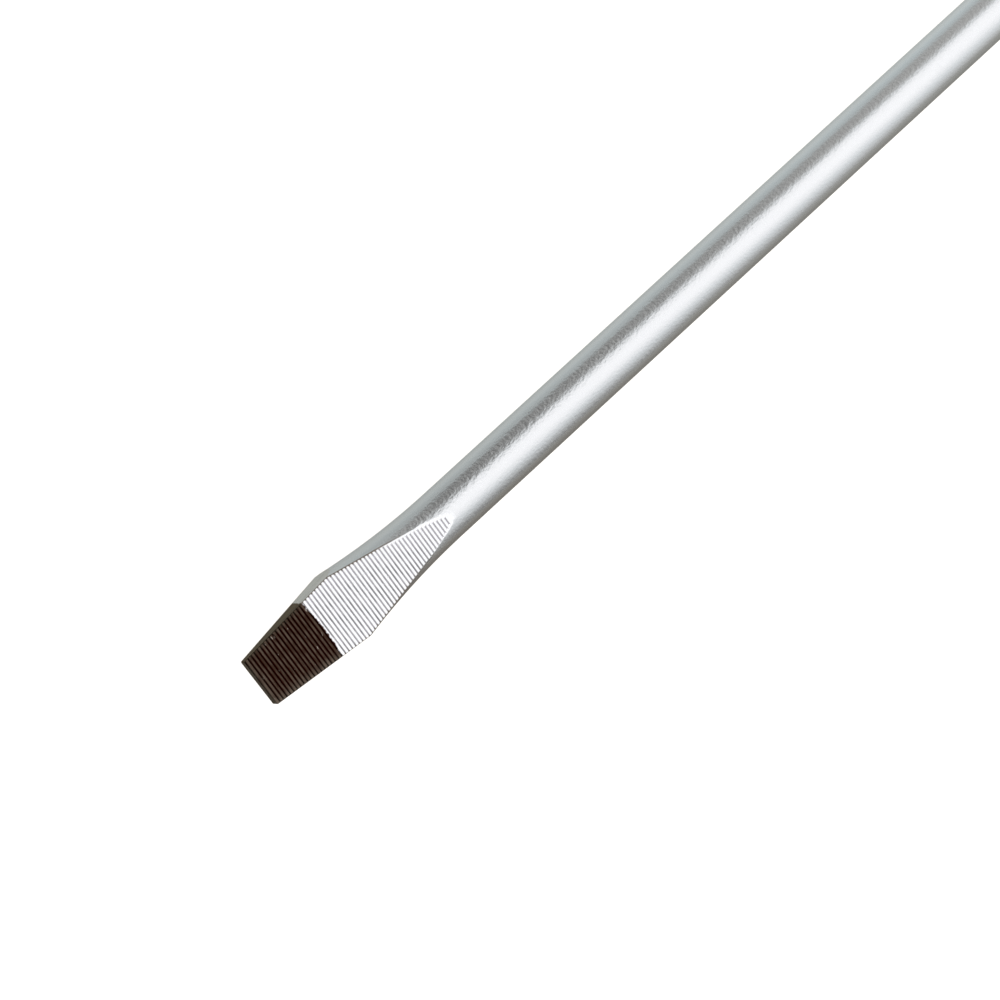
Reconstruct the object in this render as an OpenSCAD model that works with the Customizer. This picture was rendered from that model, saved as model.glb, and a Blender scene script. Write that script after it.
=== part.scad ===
// Watchmaker's slotted screwdriver with a changeable blade and a free-turning finger cap.
// The axis lies along X: the tip's end edge is at the origin and the cap is at the far end.
// The blade's two wide faces look up and down Z, and the tool lies on its grip and its hexagonal ring.

/* [Blade tip] */
// Width of the tip's end edge (a nominal 3 mm tip, ground a little under)
tip_w = 2.91; // [2.6:0.01:3.3]
// Thickness of the tip's end edge
tip_t = 0.5; // [0.35:0.05:0.7]
// Break on the two corners of the end edge
tip_break = 0.06; // [0.04:0.02:0.3]
// Length of the two flat faces, from the end edge to where they run out of the shank
face_l = 13.6; // [12:0.1:16]
// Slope of each ground side, in degrees from the axis
side_slope = 4.9; // [3.5:0.1:6]
// Where the flare leaves the round shank, measured from the end edge
flare_l = 13.8; // [12.5:0.05:15]
// Radius of the flare's curve along the axis
flare_r = 46; // [38:0.5:54]

/* [Face grooves] */
// Spacing of the grooves milled across each face
groove_pitch = 0.2269; // [0.2:0.0001:0.26]
// Distance from the end edge to the middle of the first groove, which runs out of that edge
groove_first = 0.027; // [0.005:0.001:0.03]
// Width of a groove at the face
groove_w = 0.1; // [0.06:0.01:0.14]
// Depth of a groove below the face
groove_depth = 0.045; // [0.03:0.005:0.06]
// Lean of the grooves away from square, in degrees
groove_lean = -0.9; // [-3:0.1:3]

/* [Blade shank] */
// Diameter of the round shank
shank_d = 3; // [2.7:0.05:3.3]
// Length of blade in front of the nose
blade_reach = 75; // [60:1:110]
// Length of blade held inside the nose
clamp_l = 20; // [17:0.5:24]
// Depth of the flat that the set screws press on
clamp_flat = 0.3; // [0.2:0.05:0.5]
// Round shank left between the nose's mouth and the start of that flat
flat_setback = 2.5; // [1:0.1:4]
// Chamfer on the blade's rear end
shank_chamfer = 0.3; // [0.1:0.05:0.5]

/* [Nose] */
// Diameter of the nose's mouth
nose_tip_d = 5; // [4.4:0.1:6]
// Diameter of the plain seat that drops into a tool rack
nose_d = 8; // [7:0.1:8.6]
// Length of the cone behind the mouth
nose_cone_l = 5; // [3:0.1:8]
// Length of the plain seat
nose_seat_l = 9; // [8:0.1:14]
// Diameter of the flange that holds the grip sleeve
nose_flange_d = 9.8; // [9.2:0.1:10.4]
// Thickness of that flange
nose_flange_l = 1.4; // [1:0.1:2.5]
// Diameter of the spigot screwed into the barrel
spigot_d = 6; // [5.4:0.1:6.4]
// Length of the spigot
spigot_l = 11; // [9:0.1:14]
// Chamfer at the mouth and on the spigot's end
nose_chamfer = 0.35; // [0.2:0.05:0.5]

/* [Set screws] */
// Thread diameter of the set screws
set_d = 2; // [1.6:0.1:2.2]
// Length of a set screw
set_l = 2.5; // [1.8:0.1:2.6]
// From the cone to the first set screw's axis
set_from_cone = 2.4; // [2:0.1:3]
// Spacing of the two set screws
set_pitch = 4; // [3:0.1:4.4]
// Width of the driver slot
set_slot_w = 0.35; // [0.25:0.05:0.5]
// Depth of the driver slot
set_slot_depth = 0.6; // [0.4:0.05:0.8]
// Chamfer round the point
set_chamfer = 0.25; // [0.1:0.05:0.35]

/* [Grip sleeve] */
// Diameter over the knurl
grip_d = 11; // [10.4:0.1:12]
// Number of knurled bands
band_n = 4; // [2:1:6]
// Length of one knurled band between its groove's centres
band_l = 6; // [5:0.1:8]
// Depth of the ring grooves between the bands
band_groove = 0.7; // [0.5:0.05:0.8]
// Number of flutes in the knurl
knurl_n = 54; // [36:1:64]
// Depth of the flutes
knurl_depth = 0.3; // [0.2:0.05:0.4]
// Height cut off the flutes' sharp crests
knurl_land = 0.07; // [0.04:0.01:0.1]

/* [Barrel] */
// Diameter under the sleeve
core_d = 8.6; // [8.2:0.1:9]
// Diameter of the collars at the two ends of the waist
collar_d = 10.2; // [9.8:0.1:10.6]
// Length of the collar behind the sleeve
front_collar_l = 2.4; // [1.5:0.1:4]
// Length of the waist
waist_l = 28; // [20:0.5:40]
// Smallest diameter of the waist
waist_d = 7.6; // [6.8:0.1:8.4]
// Length of the collar in front of the hexagonal ring
rear_collar_l = 3.2; // [2.5:0.1:5]
// Depth of the line turned into each collar
line_depth = 0.25; // [0.15:0.05:0.35]
// Chamfer on the collars' outer edges
collar_chamfer = 0.3; // [0.15:0.05:0.5]

/* [Hexagonal ring] */
// Size of the ring across its flats
hex_af = 11; // [10.6:0.1:12]
// Length of the ring
hex_l = 6; // [5:0.1:9]
// Diameter of the ring's seat on the barrel
hex_seat_d = 7.4; // [6.8:0.1:8]
// Length of the turned chamfer on the corners
hex_chamfer = 0.7; // [0.4:0.05:1]
// How far that chamfer cuts below the flats at the ring's ends
hex_drop = 0.25; // [0.1:0.05:0.4]

/* [Spindle] */
// Diameter of the stud screwed into the barrel
stud_d = 4; // [3.4:0.1:4.6]
// Length of the stud
stud_l = 9; // [7:0.1:12]
// Diameter of the flange that clamps the hexagonal ring
spindle_flange_d = 9.4; // [8.8:0.1:10]
// Thickness of that flange
spindle_flange_t = 1.2; // [0.9:0.1:2]
// Length of journal behind the snap ring
journal_tail = 1; // [0.8:0.1:1.5]
// Chamfer on the journal's end
journal_chamfer = 0.2; // [0.1:0.05:0.4]
// Width of the driver slot in the journal's end
journal_slot_w = 0.5; // [0.4:0.05:0.7]
// Depth of that slot
journal_slot_depth = 0.6; // [0.4:0.05:0.75]
// Depth of the snap ring's groove in the journal
clip_groove = 0.35; // [0.25:0.05:0.45]
// Outside diameter of the snap ring on the journal
clip_od = 4.3; // [4:0.1:4.5]
// Thickness of that snap ring
clip_t = 0.4; // [0.3:0.05:0.6]
// Angle left open in each snap ring, in degrees
clip_open = 70; // [50:1:100]

/* [Bearing] */
// Bore
bearing_bore = 3; // [2.8:0.05:3.2]
// Outside diameter
bearing_od = 8; // [7.9:0.05:8.4]
// Width
bearing_w = 3; // [2.9:0.1:3.6]
// Diameter of the circle that the balls' centres lie on
ball_pcd = 5.5; // [5.4:0.02:5.6]
// Ball diameter
ball_d = 1.5; // [1.4:0.02:1.54]
// Number of balls
ball_n = 7; // [5:1:7]
// How far each race's land stands off the ball circle
land_gap = 0.45; // [0.42:0.01:0.48]
// Thickness of a shield
shield_t = 0.2; // [0.15:0.01:0.25]
// How far a shield lies below the races' end faces
shield_inset = 0.05; // [0.03:0.01:0.1]
// Height of the step that a shield is pressed into
shield_step = 0.15; // [0.1:0.01:0.2]

/* [Cap] */
// Outside diameter of the cap
cap_d = 10.8; // [10.4:0.1:11]
// Running gap between the cap and the spindle's flange
cap_gap = 0.3; // [0.2:0.05:0.5]
// Length of the lip in front of the cap's snap ring
lip_l = 0.6; // [0.5:0.05:1]
// Thickness of the cap's snap ring
cap_clip_t = 0.5; // [0.4:0.05:0.7]
// Depth of that snap ring's groove
cap_clip_groove = 0.35; // [0.25:0.05:0.45]
// Diameter of the hole behind the bearing
cap_hole_d = 6.6; // [6.2:0.1:6.8]
// Space between the journal's end and the disc
cap_room = 1; // [0.6:0.1:2]
// Number of flutes round the cap
flute_n = 30; // [24:1:40]
// Depth of those flutes
flute_depth = 0.3; // [0.2:0.05:0.35]
// Height cut off those flutes' sharp crests
flute_land = 0.1; // [0.05:0.01:0.15]
// Distance from each end of the cap to the ring groove where the flutes stop
flute_margin = 1.5; // [1.3:0.1:2]
// Depth of those ring grooves
flute_stop = 0.4; // [0.35:0.05:0.5]
// Chamfer on the cap's outer edges
cap_chamfer = 0.3; // [0.15:0.05:0.5]
// Width of the rim round the dished end
cap_rim = 0.7; // [0.5:0.05:1]
// Depth of the dished end
dish_depth = 1.2; // [0.8:0.1:1.6]
// Diameter of the disc's flange
disc_d = 8; // [7.6:0.1:8.4]
// Thickness of the disc at its centre
disc_t = 1.2; // [1:0.1:2]
// Length of the disc's plug
disc_plug_l = 1; // [0.7:0.1:2]

/* [Fits] */
// Radial clearance of pieces that are pushed or screwed together
seat_fit = 0.02; // [0.01:0.005:0.04]
// Radial clearance of the blade in the nose
blade_fit = 0.03; // [0.02:0.005:0.06]
// Clearance of the balls in their tracks
ball_fit = 0.02; // [0.01:0.005:0.04]
// Clearance of the balls in the cage
cage_fit = 0.06; // [0.04:0.01:0.08]
// Clearance of the cage and the shields from the races
shield_fit = 0.14; // [0.1:0.01:0.16]

/* [Hidden] */
$fn = 96;
// Smoothness of the flare's large circle where it is drawn as straight steps
fine_fn = 360;
// Overlap that lets one cutting shape pass clear through a face
eps = 1;
// How far the faces' planes rise past the shank before they stop
face_clear = 0.3;
// How far the groove cutter's spine stays above the face
comb_lift = 0.02;

shank_r = shank_d / 2;
blade_l = blade_reach + clamp_l;
face_rise = (shank_r - tip_t / 2) / face_l;
side_rise = tan(side_slope);
groove_n = floor((face_l - groove_first) / groove_pitch);
flat_z = shank_r - clamp_flat;

nose_x = blade_reach;
seat_x = nose_x + nose_cone_l;
flange_x = seat_x + nose_seat_l;
barrel_x = flange_x + nose_flange_l;
spigot_end = barrel_x + spigot_l;
set_x = seat_x + set_from_cone;

sleeve_l = band_n * band_l;
collar_x = barrel_x + sleeve_l;
waist_x = collar_x + front_collar_l;
waist_end = waist_x + waist_l;
hex_x = waist_end + rear_collar_l;
barrel_end = hex_x + hex_l;
waist_sag = (collar_d - waist_d) / 2;
waist_r = (pow(waist_l / 2, 2) + pow(waist_sag, 2)) / (2 * waist_sag);

spacer_x = barrel_end + spindle_flange_t;
cap_x = spacer_x + cap_gap;
cap_clip_x = cap_x + lip_l;
race_x = cap_clip_x + cap_clip_t;
race_end = race_x + bearing_w;
race_mid = race_x + bearing_w / 2;
journal_end = race_end + clip_t + journal_tail;
plug_x = journal_end + cap_room;
disc_x = plug_x + disc_plug_l;
dish_floor = disc_x + disc_t;
cap_end = dish_floor + dish_depth;
dish_mouth_r = cap_d / 2 - cap_rim;
dish_r = (pow(dish_mouth_r, 2) + pow(dish_depth, 2)) / (2 * dish_depth);

ball_r = ball_d / 2;
pitch_r = ball_pcd / 2;
track_r = ball_r + ball_fit;
land_in_r = pitch_r - land_gap;
land_out_r = pitch_r + land_gap;
cage_w = bearing_w - 2 * (shield_inset + shield_t + shield_fit);

// Height of the blade's upper flat face above the axis
function face_z(x) = tip_t / 2 + face_rise * x;

// Half width of the blade between its ground sides
function side_y(x) = tip_w / 2 + side_rise * x;

// Lays a shape that stands on Z along X
module lay() {
  rotate([0, 90, 0])
    children();
}

// Turns a profile of [radius, x] points round the axis
module turned(points) {
  lay()
    rotate_extrude()
      polygon(points);
}

// A round bar along the axis
module bar(d, x0, x1) {
  translate([x0, 0, 0])
    lay()
      cylinder(d = d, h = x1 - x0);
}

// A plain ring along the axis
module ring(od, id, x0, x1) {
  difference() {
    bar(od, x0, x1);
    bar(id, x0 - eps, x1 + eps);
  }
}

// A bar along the axis with straight V flutes all round
module fluted_bar(crest_r, root_r, n, x0, x1) {
  translate([x0, 0, 0])
    lay()
      linear_extrude(height = x1 - x0)
        polygon([for (i = [0 : 2 * n - 1])
          (i % 2 == 0 ? crest_r : root_r) * [cos(180 * i / n), sin(180 * i / n)]]);
}

// A ball that gives the cap and its disc one dished surface
module dish() {
  translate([dish_floor + dish_r, 0, 0])
    sphere(r = dish_r);
}

// The round bar with its trumpet flare, before the faces and sides are ground
module blade_blank() {
  flare_max = shank_r + flare_l;
  lay()
    rotate_extrude()
      difference() {
        square([flare_max, flare_l]);
        translate([shank_r + flare_r, flare_l])
          circle(r = flare_r, $fn = fine_fn);
      }
  turned([[0, flare_l], [shank_r, flare_l], [shank_r, blade_l - shank_chamfer],
          [shank_r - shank_chamfer, blade_l], [0, blade_l]]);
}

// What lies between the two flat faces, which run on until they are clear of the shank
module face_wedge() {
  clear_x = face_l + face_clear / face_rise;
  rotate([90, 0, 0])
    linear_extrude(height = 2 * flare_l, center = true)
      polygon([[0, -face_z(0)], [clear_x, -face_z(clear_x)], [blade_l, -face_z(clear_x)],
               [blade_l, face_z(clear_x)], [clear_x, face_z(clear_x)], [0, face_z(0)]]);
}

// What lies between the two ground sides
module side_wedge() {
  linear_extrude(height = 2 * flare_l, center = true)
    polygon([[0, tip_break - side_y(0)], [tip_break, -side_y(tip_break)], [blade_l, -side_y(blade_l)],
             [blade_l, side_y(blade_l)], [tip_break, side_y(tip_break)], [0, side_y(0) - tip_break]]);
}

// The milling cutter for one face: a comb of V teeth whose spine stays just above the face
module groove_comb() {
  half = groove_w / 2 * (1 + comb_lift / groove_depth);
  comb_start = groove_first - groove_pitch;
  comb_end = groove_first + groove_n * groove_pitch;
  rotate([0, 0, groove_lean])
    rotate([90, 0, 0])
      linear_extrude(height = 2 * flare_l, center = true)
        polygon(concat(
          [[comb_start, face_z(comb_end) + eps], [comb_start, face_z(comb_start) + comb_lift]],
          [for (i = [0 : groove_n - 1], k = [-1 : 1])
            let (x = groove_first + i * groove_pitch)
            [x + k * half, face_z(x + k * half) + (k == 0 ? -groove_depth : comb_lift)]],
          [[comb_end, face_z(comb_end) + comb_lift], [comb_end, face_z(comb_end) + eps]]));
}

module blade() {
  color([0.78, 0.79, 0.8])
    difference() {
      intersection() {
        blade_blank();
        face_wedge();
        side_wedge();
      }
      groove_comb();
      rotate([180, 0, 0])
        groove_comb();
      translate([nose_x + flat_setback, -shank_d, flat_z])
        cube([clamp_l + eps, 2 * shank_d, shank_d]);
    }
}

module chuck_nose() {
  color([0.72, 0.73, 0.74])
    difference() {
      turned([[0, nose_x], [nose_tip_d / 2 - nose_chamfer, nose_x], [nose_tip_d / 2, nose_x + nose_chamfer],
              [nose_d / 2, seat_x], [nose_d / 2, flange_x], [nose_flange_d / 2, flange_x],
              [nose_flange_d / 2, barrel_x], [spigot_d / 2, barrel_x],
              [spigot_d / 2, spigot_end - nose_chamfer], [spigot_d / 2 - nose_chamfer, spigot_end],
              [0, spigot_end]]);
      bar(shank_d + 2 * blade_fit, nose_x - eps, nose_x + clamp_l);
      for (i = [0, 1])
        translate([set_x + i * set_pitch, 0, 0])
          cylinder(d = set_d, h = nose_d);
    }
}

module set_screws() {
  body_r = set_d / 2 - seat_fit;
  color([0.25, 0.25, 0.27])
    for (i = [0, 1])
      translate([set_x + i * set_pitch, 0, flat_z])
        difference() {
          rotate_extrude()
            polygon([[0, 0], [body_r - set_chamfer, 0], [body_r, set_chamfer], [body_r, set_l], [0, set_l]]);
          translate([-set_slot_w / 2, -set_d, set_l - set_slot_depth])
            cube([set_slot_w, 2 * set_d, set_slot_depth + eps]);
        }
}

module barrel() {
  line_x = [collar_x + front_collar_l / 2, waist_end + rear_collar_l / 2];
  r = collar_d / 2;
  color([0.7, 0.71, 0.73])
    difference() {
      lay()
        rotate_extrude()
          difference() {
            polygon([[0, barrel_x], [core_d / 2, barrel_x], [core_d / 2, collar_x],
                     [r - collar_chamfer, collar_x], [r, collar_x + collar_chamfer],
                     [r, line_x[0] - line_depth], [r - line_depth, line_x[0]], [r, line_x[0] + line_depth],
                     [r, line_x[1] - line_depth], [r - line_depth, line_x[1]], [r, line_x[1] + line_depth],
                     [r, hex_x - collar_chamfer], [r - collar_chamfer, hex_x],
                     [hex_seat_d / 2, hex_x], [hex_seat_d / 2, barrel_end], [0, barrel_end]]);
            translate([waist_d / 2 + waist_r, (waist_x + waist_end) / 2])
              circle(r = waist_r, $fn = fine_fn);
          }
      bar(spigot_d + 2 * seat_fit, barrel_x - eps, spigot_end + seat_fit);
      bar(stud_d + 2 * seat_fit, barrel_end - stud_l - seat_fit, barrel_end + eps);
    }
}

module grip_sleeve() {
  r = grip_d / 2;
  color([0.66, 0.67, 0.69])
    difference() {
      intersection() {
        fluted_bar(r + knurl_land, r - knurl_depth, knurl_n, barrel_x, collar_x);
        turned(concat(
          [[0, barrel_x], [r - band_groove, barrel_x]],
          [for (i = [0 : band_n - 1])
            let (x = barrel_x + i * band_l)
            each [[r, x + band_groove], [r, x + band_l - band_groove], [r - band_groove, x + band_l]]],
          [[0, collar_x]]));
      }
      bar(core_d + 2 * seat_fit, barrel_x - eps, collar_x + eps);
    }
}

module anti_roll_ring() {
  corner_r = hex_af / sqrt(3);
  end_r = hex_af / 2 - hex_drop;
  color([0.36, 0.2, 0.12])
    difference() {
      intersection() {
        translate([hex_x, 0, 0])
          lay()
            rotate([0, 0, 30])
              cylinder(r = corner_r, h = hex_l, $fn = 6);
        turned([[0, hex_x], [end_r, hex_x], [corner_r + seat_fit, hex_x + hex_chamfer],
                [corner_r + seat_fit, barrel_end - hex_chamfer], [end_r, barrel_end], [0, barrel_end]]);
      }
      bar(hex_seat_d + 2 * seat_fit, hex_x - eps, barrel_end + eps);
    }
}

module spindle() {
  journal_r = bearing_bore / 2 - seat_fit;
  color([0.62, 0.63, 0.65])
    difference() {
      turned([[0, barrel_end - stud_l], [stud_d / 2, barrel_end - stud_l], [stud_d / 2, barrel_end],
              [spindle_flange_d / 2, barrel_end], [spindle_flange_d / 2, spacer_x], [journal_r, spacer_x],
              [journal_r, race_end], [journal_r - clip_groove, race_end],
              [journal_r - clip_groove, race_end + clip_t], [journal_r, race_end + clip_t],
              [journal_r, journal_end - journal_chamfer], [journal_r - journal_chamfer, journal_end],
              [0, journal_end]]);
      translate([journal_end - journal_slot_depth, -journal_slot_w / 2, -bearing_bore])
        cube([journal_slot_depth + eps, journal_slot_w, 2 * bearing_bore]);
    }
}

module spacer() {
  color([0.75, 0.62, 0.32])
    ring(2 * land_in_r, bearing_bore, spacer_x, race_x);
}

module bearing_inner_race() {
  color([0.8, 0.8, 0.82])
    lay()
      rotate_extrude()
        difference() {
          translate([bearing_bore / 2, race_x])
            square([land_in_r - bearing_bore / 2, bearing_w]);
          translate([pitch_r, race_mid])
            circle(r = track_r);
        }
}

module bearing_outer_race() {
  step_w = shield_inset + shield_t;
  color([0.8, 0.8, 0.82])
    lay()
      rotate_extrude()
        difference() {
          translate([land_out_r, race_x])
            square([bearing_od / 2 - land_out_r, bearing_w]);
          translate([pitch_r, race_mid])
            circle(r = track_r);
          for (x = [race_x - eps, race_end - step_w])
            translate([land_out_r - eps, x])
              square([shield_step + eps, step_w + eps]);
        }
}

module bearing_balls() {
  color([0.88, 0.88, 0.9])
    for (i = [0 : ball_n - 1])
      translate([race_mid, 0, 0])
        rotate([360 * i / ball_n, 0, 0])
          translate([0, 0, pitch_r])
            sphere(d = ball_d);
}

module bearing_cage() {
  color([0.72, 0.58, 0.28])
    difference() {
      ring(2 * (land_out_r - shield_fit), 2 * (land_in_r + shield_fit), race_mid - cage_w / 2,
           race_mid + cage_w / 2);
      for (i = [0 : ball_n - 1])
        translate([race_mid, 0, 0])
          rotate([360 * i / ball_n, 0, 0])
            translate([0, 0, pitch_r])
              sphere(r = ball_r + cage_fit);
    }
}

// One shield, pressed into the step of the outer race
module shield(x) {
  ring(2 * (land_out_r + shield_step - seat_fit), 2 * (land_in_r + shield_fit), x, x + shield_t);
}

module bearing_shield_front() {
  color([0.68, 0.69, 0.71])
    shield(race_x + shield_inset);
}

module bearing_shield_rear() {
  color([0.68, 0.69, 0.71])
    shield(race_end - shield_inset - shield_t);
}

// An open ring: a plain ring with one sector cut away
module snap_ring(od, id, x, t, turn) {
  lay()
    rotate([0, 0, turn + clip_open / 2])
      rotate_extrude(angle = 360 - clip_open)
        translate([id / 2, x])
          square([(od - id) / 2, t]);
}

module spindle_clip() {
  color([0.3, 0.31, 0.33])
    snap_ring(clip_od, bearing_bore - 2 * clip_groove, race_end, clip_t, 0);
}

module cap_clip() {
  color([0.3, 0.31, 0.33])
    snap_ring(bearing_od + 2 * cap_clip_groove, 2 * land_out_r, cap_clip_x, cap_clip_t, 90);
}

module swivel_cap() {
  r = cap_d / 2;
  bore_r = bearing_od / 2 + seat_fit;
  flute_x = cap_x + flute_margin;
  flute_end = cap_end - flute_margin;
  color([0.72, 0.73, 0.74])
    difference() {
      intersection() {
        turned([[0, cap_x], [r - cap_chamfer, cap_x], [r, cap_x + cap_chamfer],
                [r, flute_x - flute_stop], [r - flute_stop, flute_x], [r, flute_x + flute_stop],
                [r, flute_end - flute_stop], [r - flute_stop, flute_end], [r, flute_end + flute_stop],
                [r, cap_end - cap_chamfer], [r - cap_chamfer, cap_end], [0, cap_end]]);
        union() {
          bar(2 * r + eps, cap_x - eps, flute_x);
          fluted_bar(r + flute_land, r - flute_depth, flute_n, flute_x, flute_end);
          bar(2 * r + eps, flute_end, cap_end + eps);
        }
      }
      bar(2 * bore_r, cap_x - eps, race_end);
      bar(2 * bore_r + 2 * cap_clip_groove, cap_clip_x, race_x);
      bar(cap_hole_d + 2 * seat_fit, cap_x, disc_x + eps);
      bar(disc_d + 2 * seat_fit, disc_x, cap_end + eps);
      dish();
    }
}

module cap_disc() {
  color([0.36, 0.2, 0.12])
    difference() {
      union() {
        bar(cap_hole_d, plug_x, disc_x + eps);
        bar(disc_d, disc_x, cap_end);
      }
      dish();
    }
}

blade();
chuck_nose();
set_screws();
barrel();
grip_sleeve();
anti_roll_ring();
spindle();
spacer();
bearing_inner_race();
bearing_outer_race();
bearing_balls();
bearing_cage();
bearing_shield_front();
bearing_shield_rear();
spindle_clip();
cap_clip();
swivel_cap();
cap_disc();
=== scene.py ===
# %% [markdown]
# # A slotted watchmaker's screwdriver, dressed for its picture
#
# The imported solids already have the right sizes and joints, so they are loaded first, as a fixed
# frame. Every piece that can be seen is then made again as a finer mesh in the same place,
# because a solid has no soft edges, no grain and no finish. The pieces deep inside the cap keep
# their solids and only get a better material.

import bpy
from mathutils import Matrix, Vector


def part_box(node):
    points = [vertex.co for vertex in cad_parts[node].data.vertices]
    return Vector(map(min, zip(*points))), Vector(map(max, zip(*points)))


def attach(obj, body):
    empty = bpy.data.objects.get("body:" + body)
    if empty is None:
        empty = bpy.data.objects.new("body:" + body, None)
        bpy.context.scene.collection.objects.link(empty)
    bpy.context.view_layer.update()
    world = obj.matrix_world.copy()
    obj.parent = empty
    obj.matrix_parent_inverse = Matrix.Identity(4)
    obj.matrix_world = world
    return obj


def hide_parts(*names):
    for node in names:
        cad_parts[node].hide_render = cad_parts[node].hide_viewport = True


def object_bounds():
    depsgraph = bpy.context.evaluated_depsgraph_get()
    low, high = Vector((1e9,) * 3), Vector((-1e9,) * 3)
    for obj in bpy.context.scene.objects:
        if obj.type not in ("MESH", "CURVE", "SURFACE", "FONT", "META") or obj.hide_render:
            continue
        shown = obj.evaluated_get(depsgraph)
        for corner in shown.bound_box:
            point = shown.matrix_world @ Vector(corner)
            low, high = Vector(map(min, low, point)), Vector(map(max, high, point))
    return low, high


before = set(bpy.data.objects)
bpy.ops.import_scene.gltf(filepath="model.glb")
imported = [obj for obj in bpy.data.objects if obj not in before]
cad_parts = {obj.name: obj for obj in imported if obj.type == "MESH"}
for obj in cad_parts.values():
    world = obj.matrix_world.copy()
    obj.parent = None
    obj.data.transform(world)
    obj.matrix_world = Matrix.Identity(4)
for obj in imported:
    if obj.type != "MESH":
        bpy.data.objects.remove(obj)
cad_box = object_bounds()

# %% [markdown]
# The tool is small, and some of Blender's mesh operators treat anything under a thousandth of a
# millimetre as one point when they work in metres. So each mesh is drawn in millimetres along
# the tool's axis, X, and shrunk to metres once, at its end. Points closer than a ten-thousandth of
# a millimetre are merged, and cuts are made ten times as fine.

# %% Units and imports
import math

import bmesh
import bpy
from mathutils import Matrix, Vector

MM = 0.001
MERGE_MM, CUT_MM = 1e-4, 1e-5
scene = bpy.context.scene
tool_length = (cad_box[1].x - cad_box[0].x) / MM
print(f"tool: {tool_length:.1f} mm long")

# %% [markdown]
# The camera looks down on the tip from the left, with the shank leaving through the upper right
# corner. Its place was worked out from the outline of the blade in the photograph: the tip's
# corners, the shoulders and the two sides of the shank fix where it stands, and how fast the
# shank narrows with distance fixes the lens. It is a long lens from near by, as for close-ups.

# %% Camera
AIM = Vector((16.843, -1.541, -0.004)) * MM
CAMERA_BACK = Vector((-0.3444, 0.2570, 0.9030)).normalized()
CAMERA_UP = Vector((0.6362, 0.7712, 0.0232))
CAMERA_DISTANCE = 238.727 * MM
PICTURE_PX = 1000
FOCAL_PX = 4477.2
CLIP_START_M = 0.01

camera = bpy.data.objects.new("camera", bpy.data.cameras.new("camera"))
scene.collection.objects.link(camera)
scene.camera = camera
camera.data.sensor_fit = "HORIZONTAL"
camera.data.lens = camera.data.sensor_width * FOCAL_PX / PICTURE_PX
camera.data.clip_start = CLIP_START_M
camera_right = CAMERA_UP.cross(CAMERA_BACK).normalized()
camera_up = CAMERA_BACK.cross(camera_right)
facing = Matrix((camera_right, camera_up, CAMERA_BACK)).transposed().to_4x4()
camera.matrix_world = Matrix.Translation(AIM + CAMERA_BACK * CAMERA_DISTANCE) @ facing
print(f"camera: {camera.data.lens:.0f} mm lens, {CAMERA_DISTANCE / MM:.0f} mm from the tip")

# %% [markdown]
# Materials are trees of nodes. One small function adds a node, sets it and links it, so that a
# finish reads from top to bottom as a list of what is done. Colours are written as the hex codes
# that a picture editor shows, and turned to the linear numbers that light is added up in. A Map
# Range node turns a measure into a share between 0 and 1; FADE_OUT makes the share fall instead
# of rise. Every pattern reads the place on its piece, so a finish starts with that, in millimetres.

# %% Nodes and colours
def add(tree, kind, inputs=None, **settings):
    """Adds a shader node: settings are its options, inputs its values or the sockets it reads."""
    made = tree.nodes.new("ShaderNode" + kind)
    for option, value in settings.items():
        setattr(made, option, value)
    for socket, value in (inputs or {}).items():
        if isinstance(value, bpy.types.NodeSocket):
            tree.links.new(value, made.inputs[socket])
        else:
            made.inputs[socket].default_value = value
    return made


def linear(code):
    """Turns an sRGB hex code into the linear colour that a socket takes."""
    parts = [int(code[i:i + 2], 16) / 255 for i in (1, 3, 5)]
    return [p / 12.92 if p <= 0.04045 else ((p + 0.055) / 1.055) ** 2.4 for p in parts] + [1]


def new_finish(name):
    """Starts a material, and returns it, its tree and the place on the piece in millimetres."""
    finish = bpy.data.materials.new(name)
    finish.use_nodes = True
    tree = finish.node_tree
    tree.nodes.clear()
    spot = add(tree, "TexCoord").outputs["Object"]
    spot = add(tree, "VectorMath", {0: spot, "Scale": 1 / MM}, operation="SCALE").outputs[0]
    return finish, tree, spot


FADE_OUT = {"To Min": 1.0, "To Max": 0.0}
print("white is", linear("#ffffff")[:3])

# %% [markdown]
# Satin chrome shows what stands around it, so the studio matters more than any colour. The shank
# in the photograph has a broad white streak with one crisp side and one slow side, and darker
# bands next to it. That is a wide softbox overhead, seen against grey walls that get lighter
# to both ends of the tool. They are drawn into the world as ramps, one over the angle round the
# tool's axis and two along the axis, and they light a white card to about its own white. The
# softbox spreads a little round the axis with distance, and its soft border is slightly blue, as
# the streak's is.

# %% Studio light
SOFTBOX = 2.45
SOFTBOX_ROUND = ((38, 0.0), (50, 0.38), (60, 0.88), (76, 1.0), (103, 1.0), (120, 0.85),
                 (146, 0.44), (178, 0.0))
SOFTBOX_ALONG = ((-0.6, 0.0), (-0.1, 1.0), (0.2, 1.0), (0.29, 0.69), (0.36, 0.70), (0.40, 0.765),
                 (0.44, 0.825), (0.5, 0.90), (0.8, 0.0))
SOFTBOX_MIDDLE = 88
SPREAD_NEAR, SPREAD_FAR = (0.33, 1.05), (0.47, 0.95)
WALL_ALONG = ((-0.4, 0.80), (0.0, 0.34), (0.1, 0.22), (0.3, 0.22), (0.46, 0.76), (0.6, 1.0))

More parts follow.
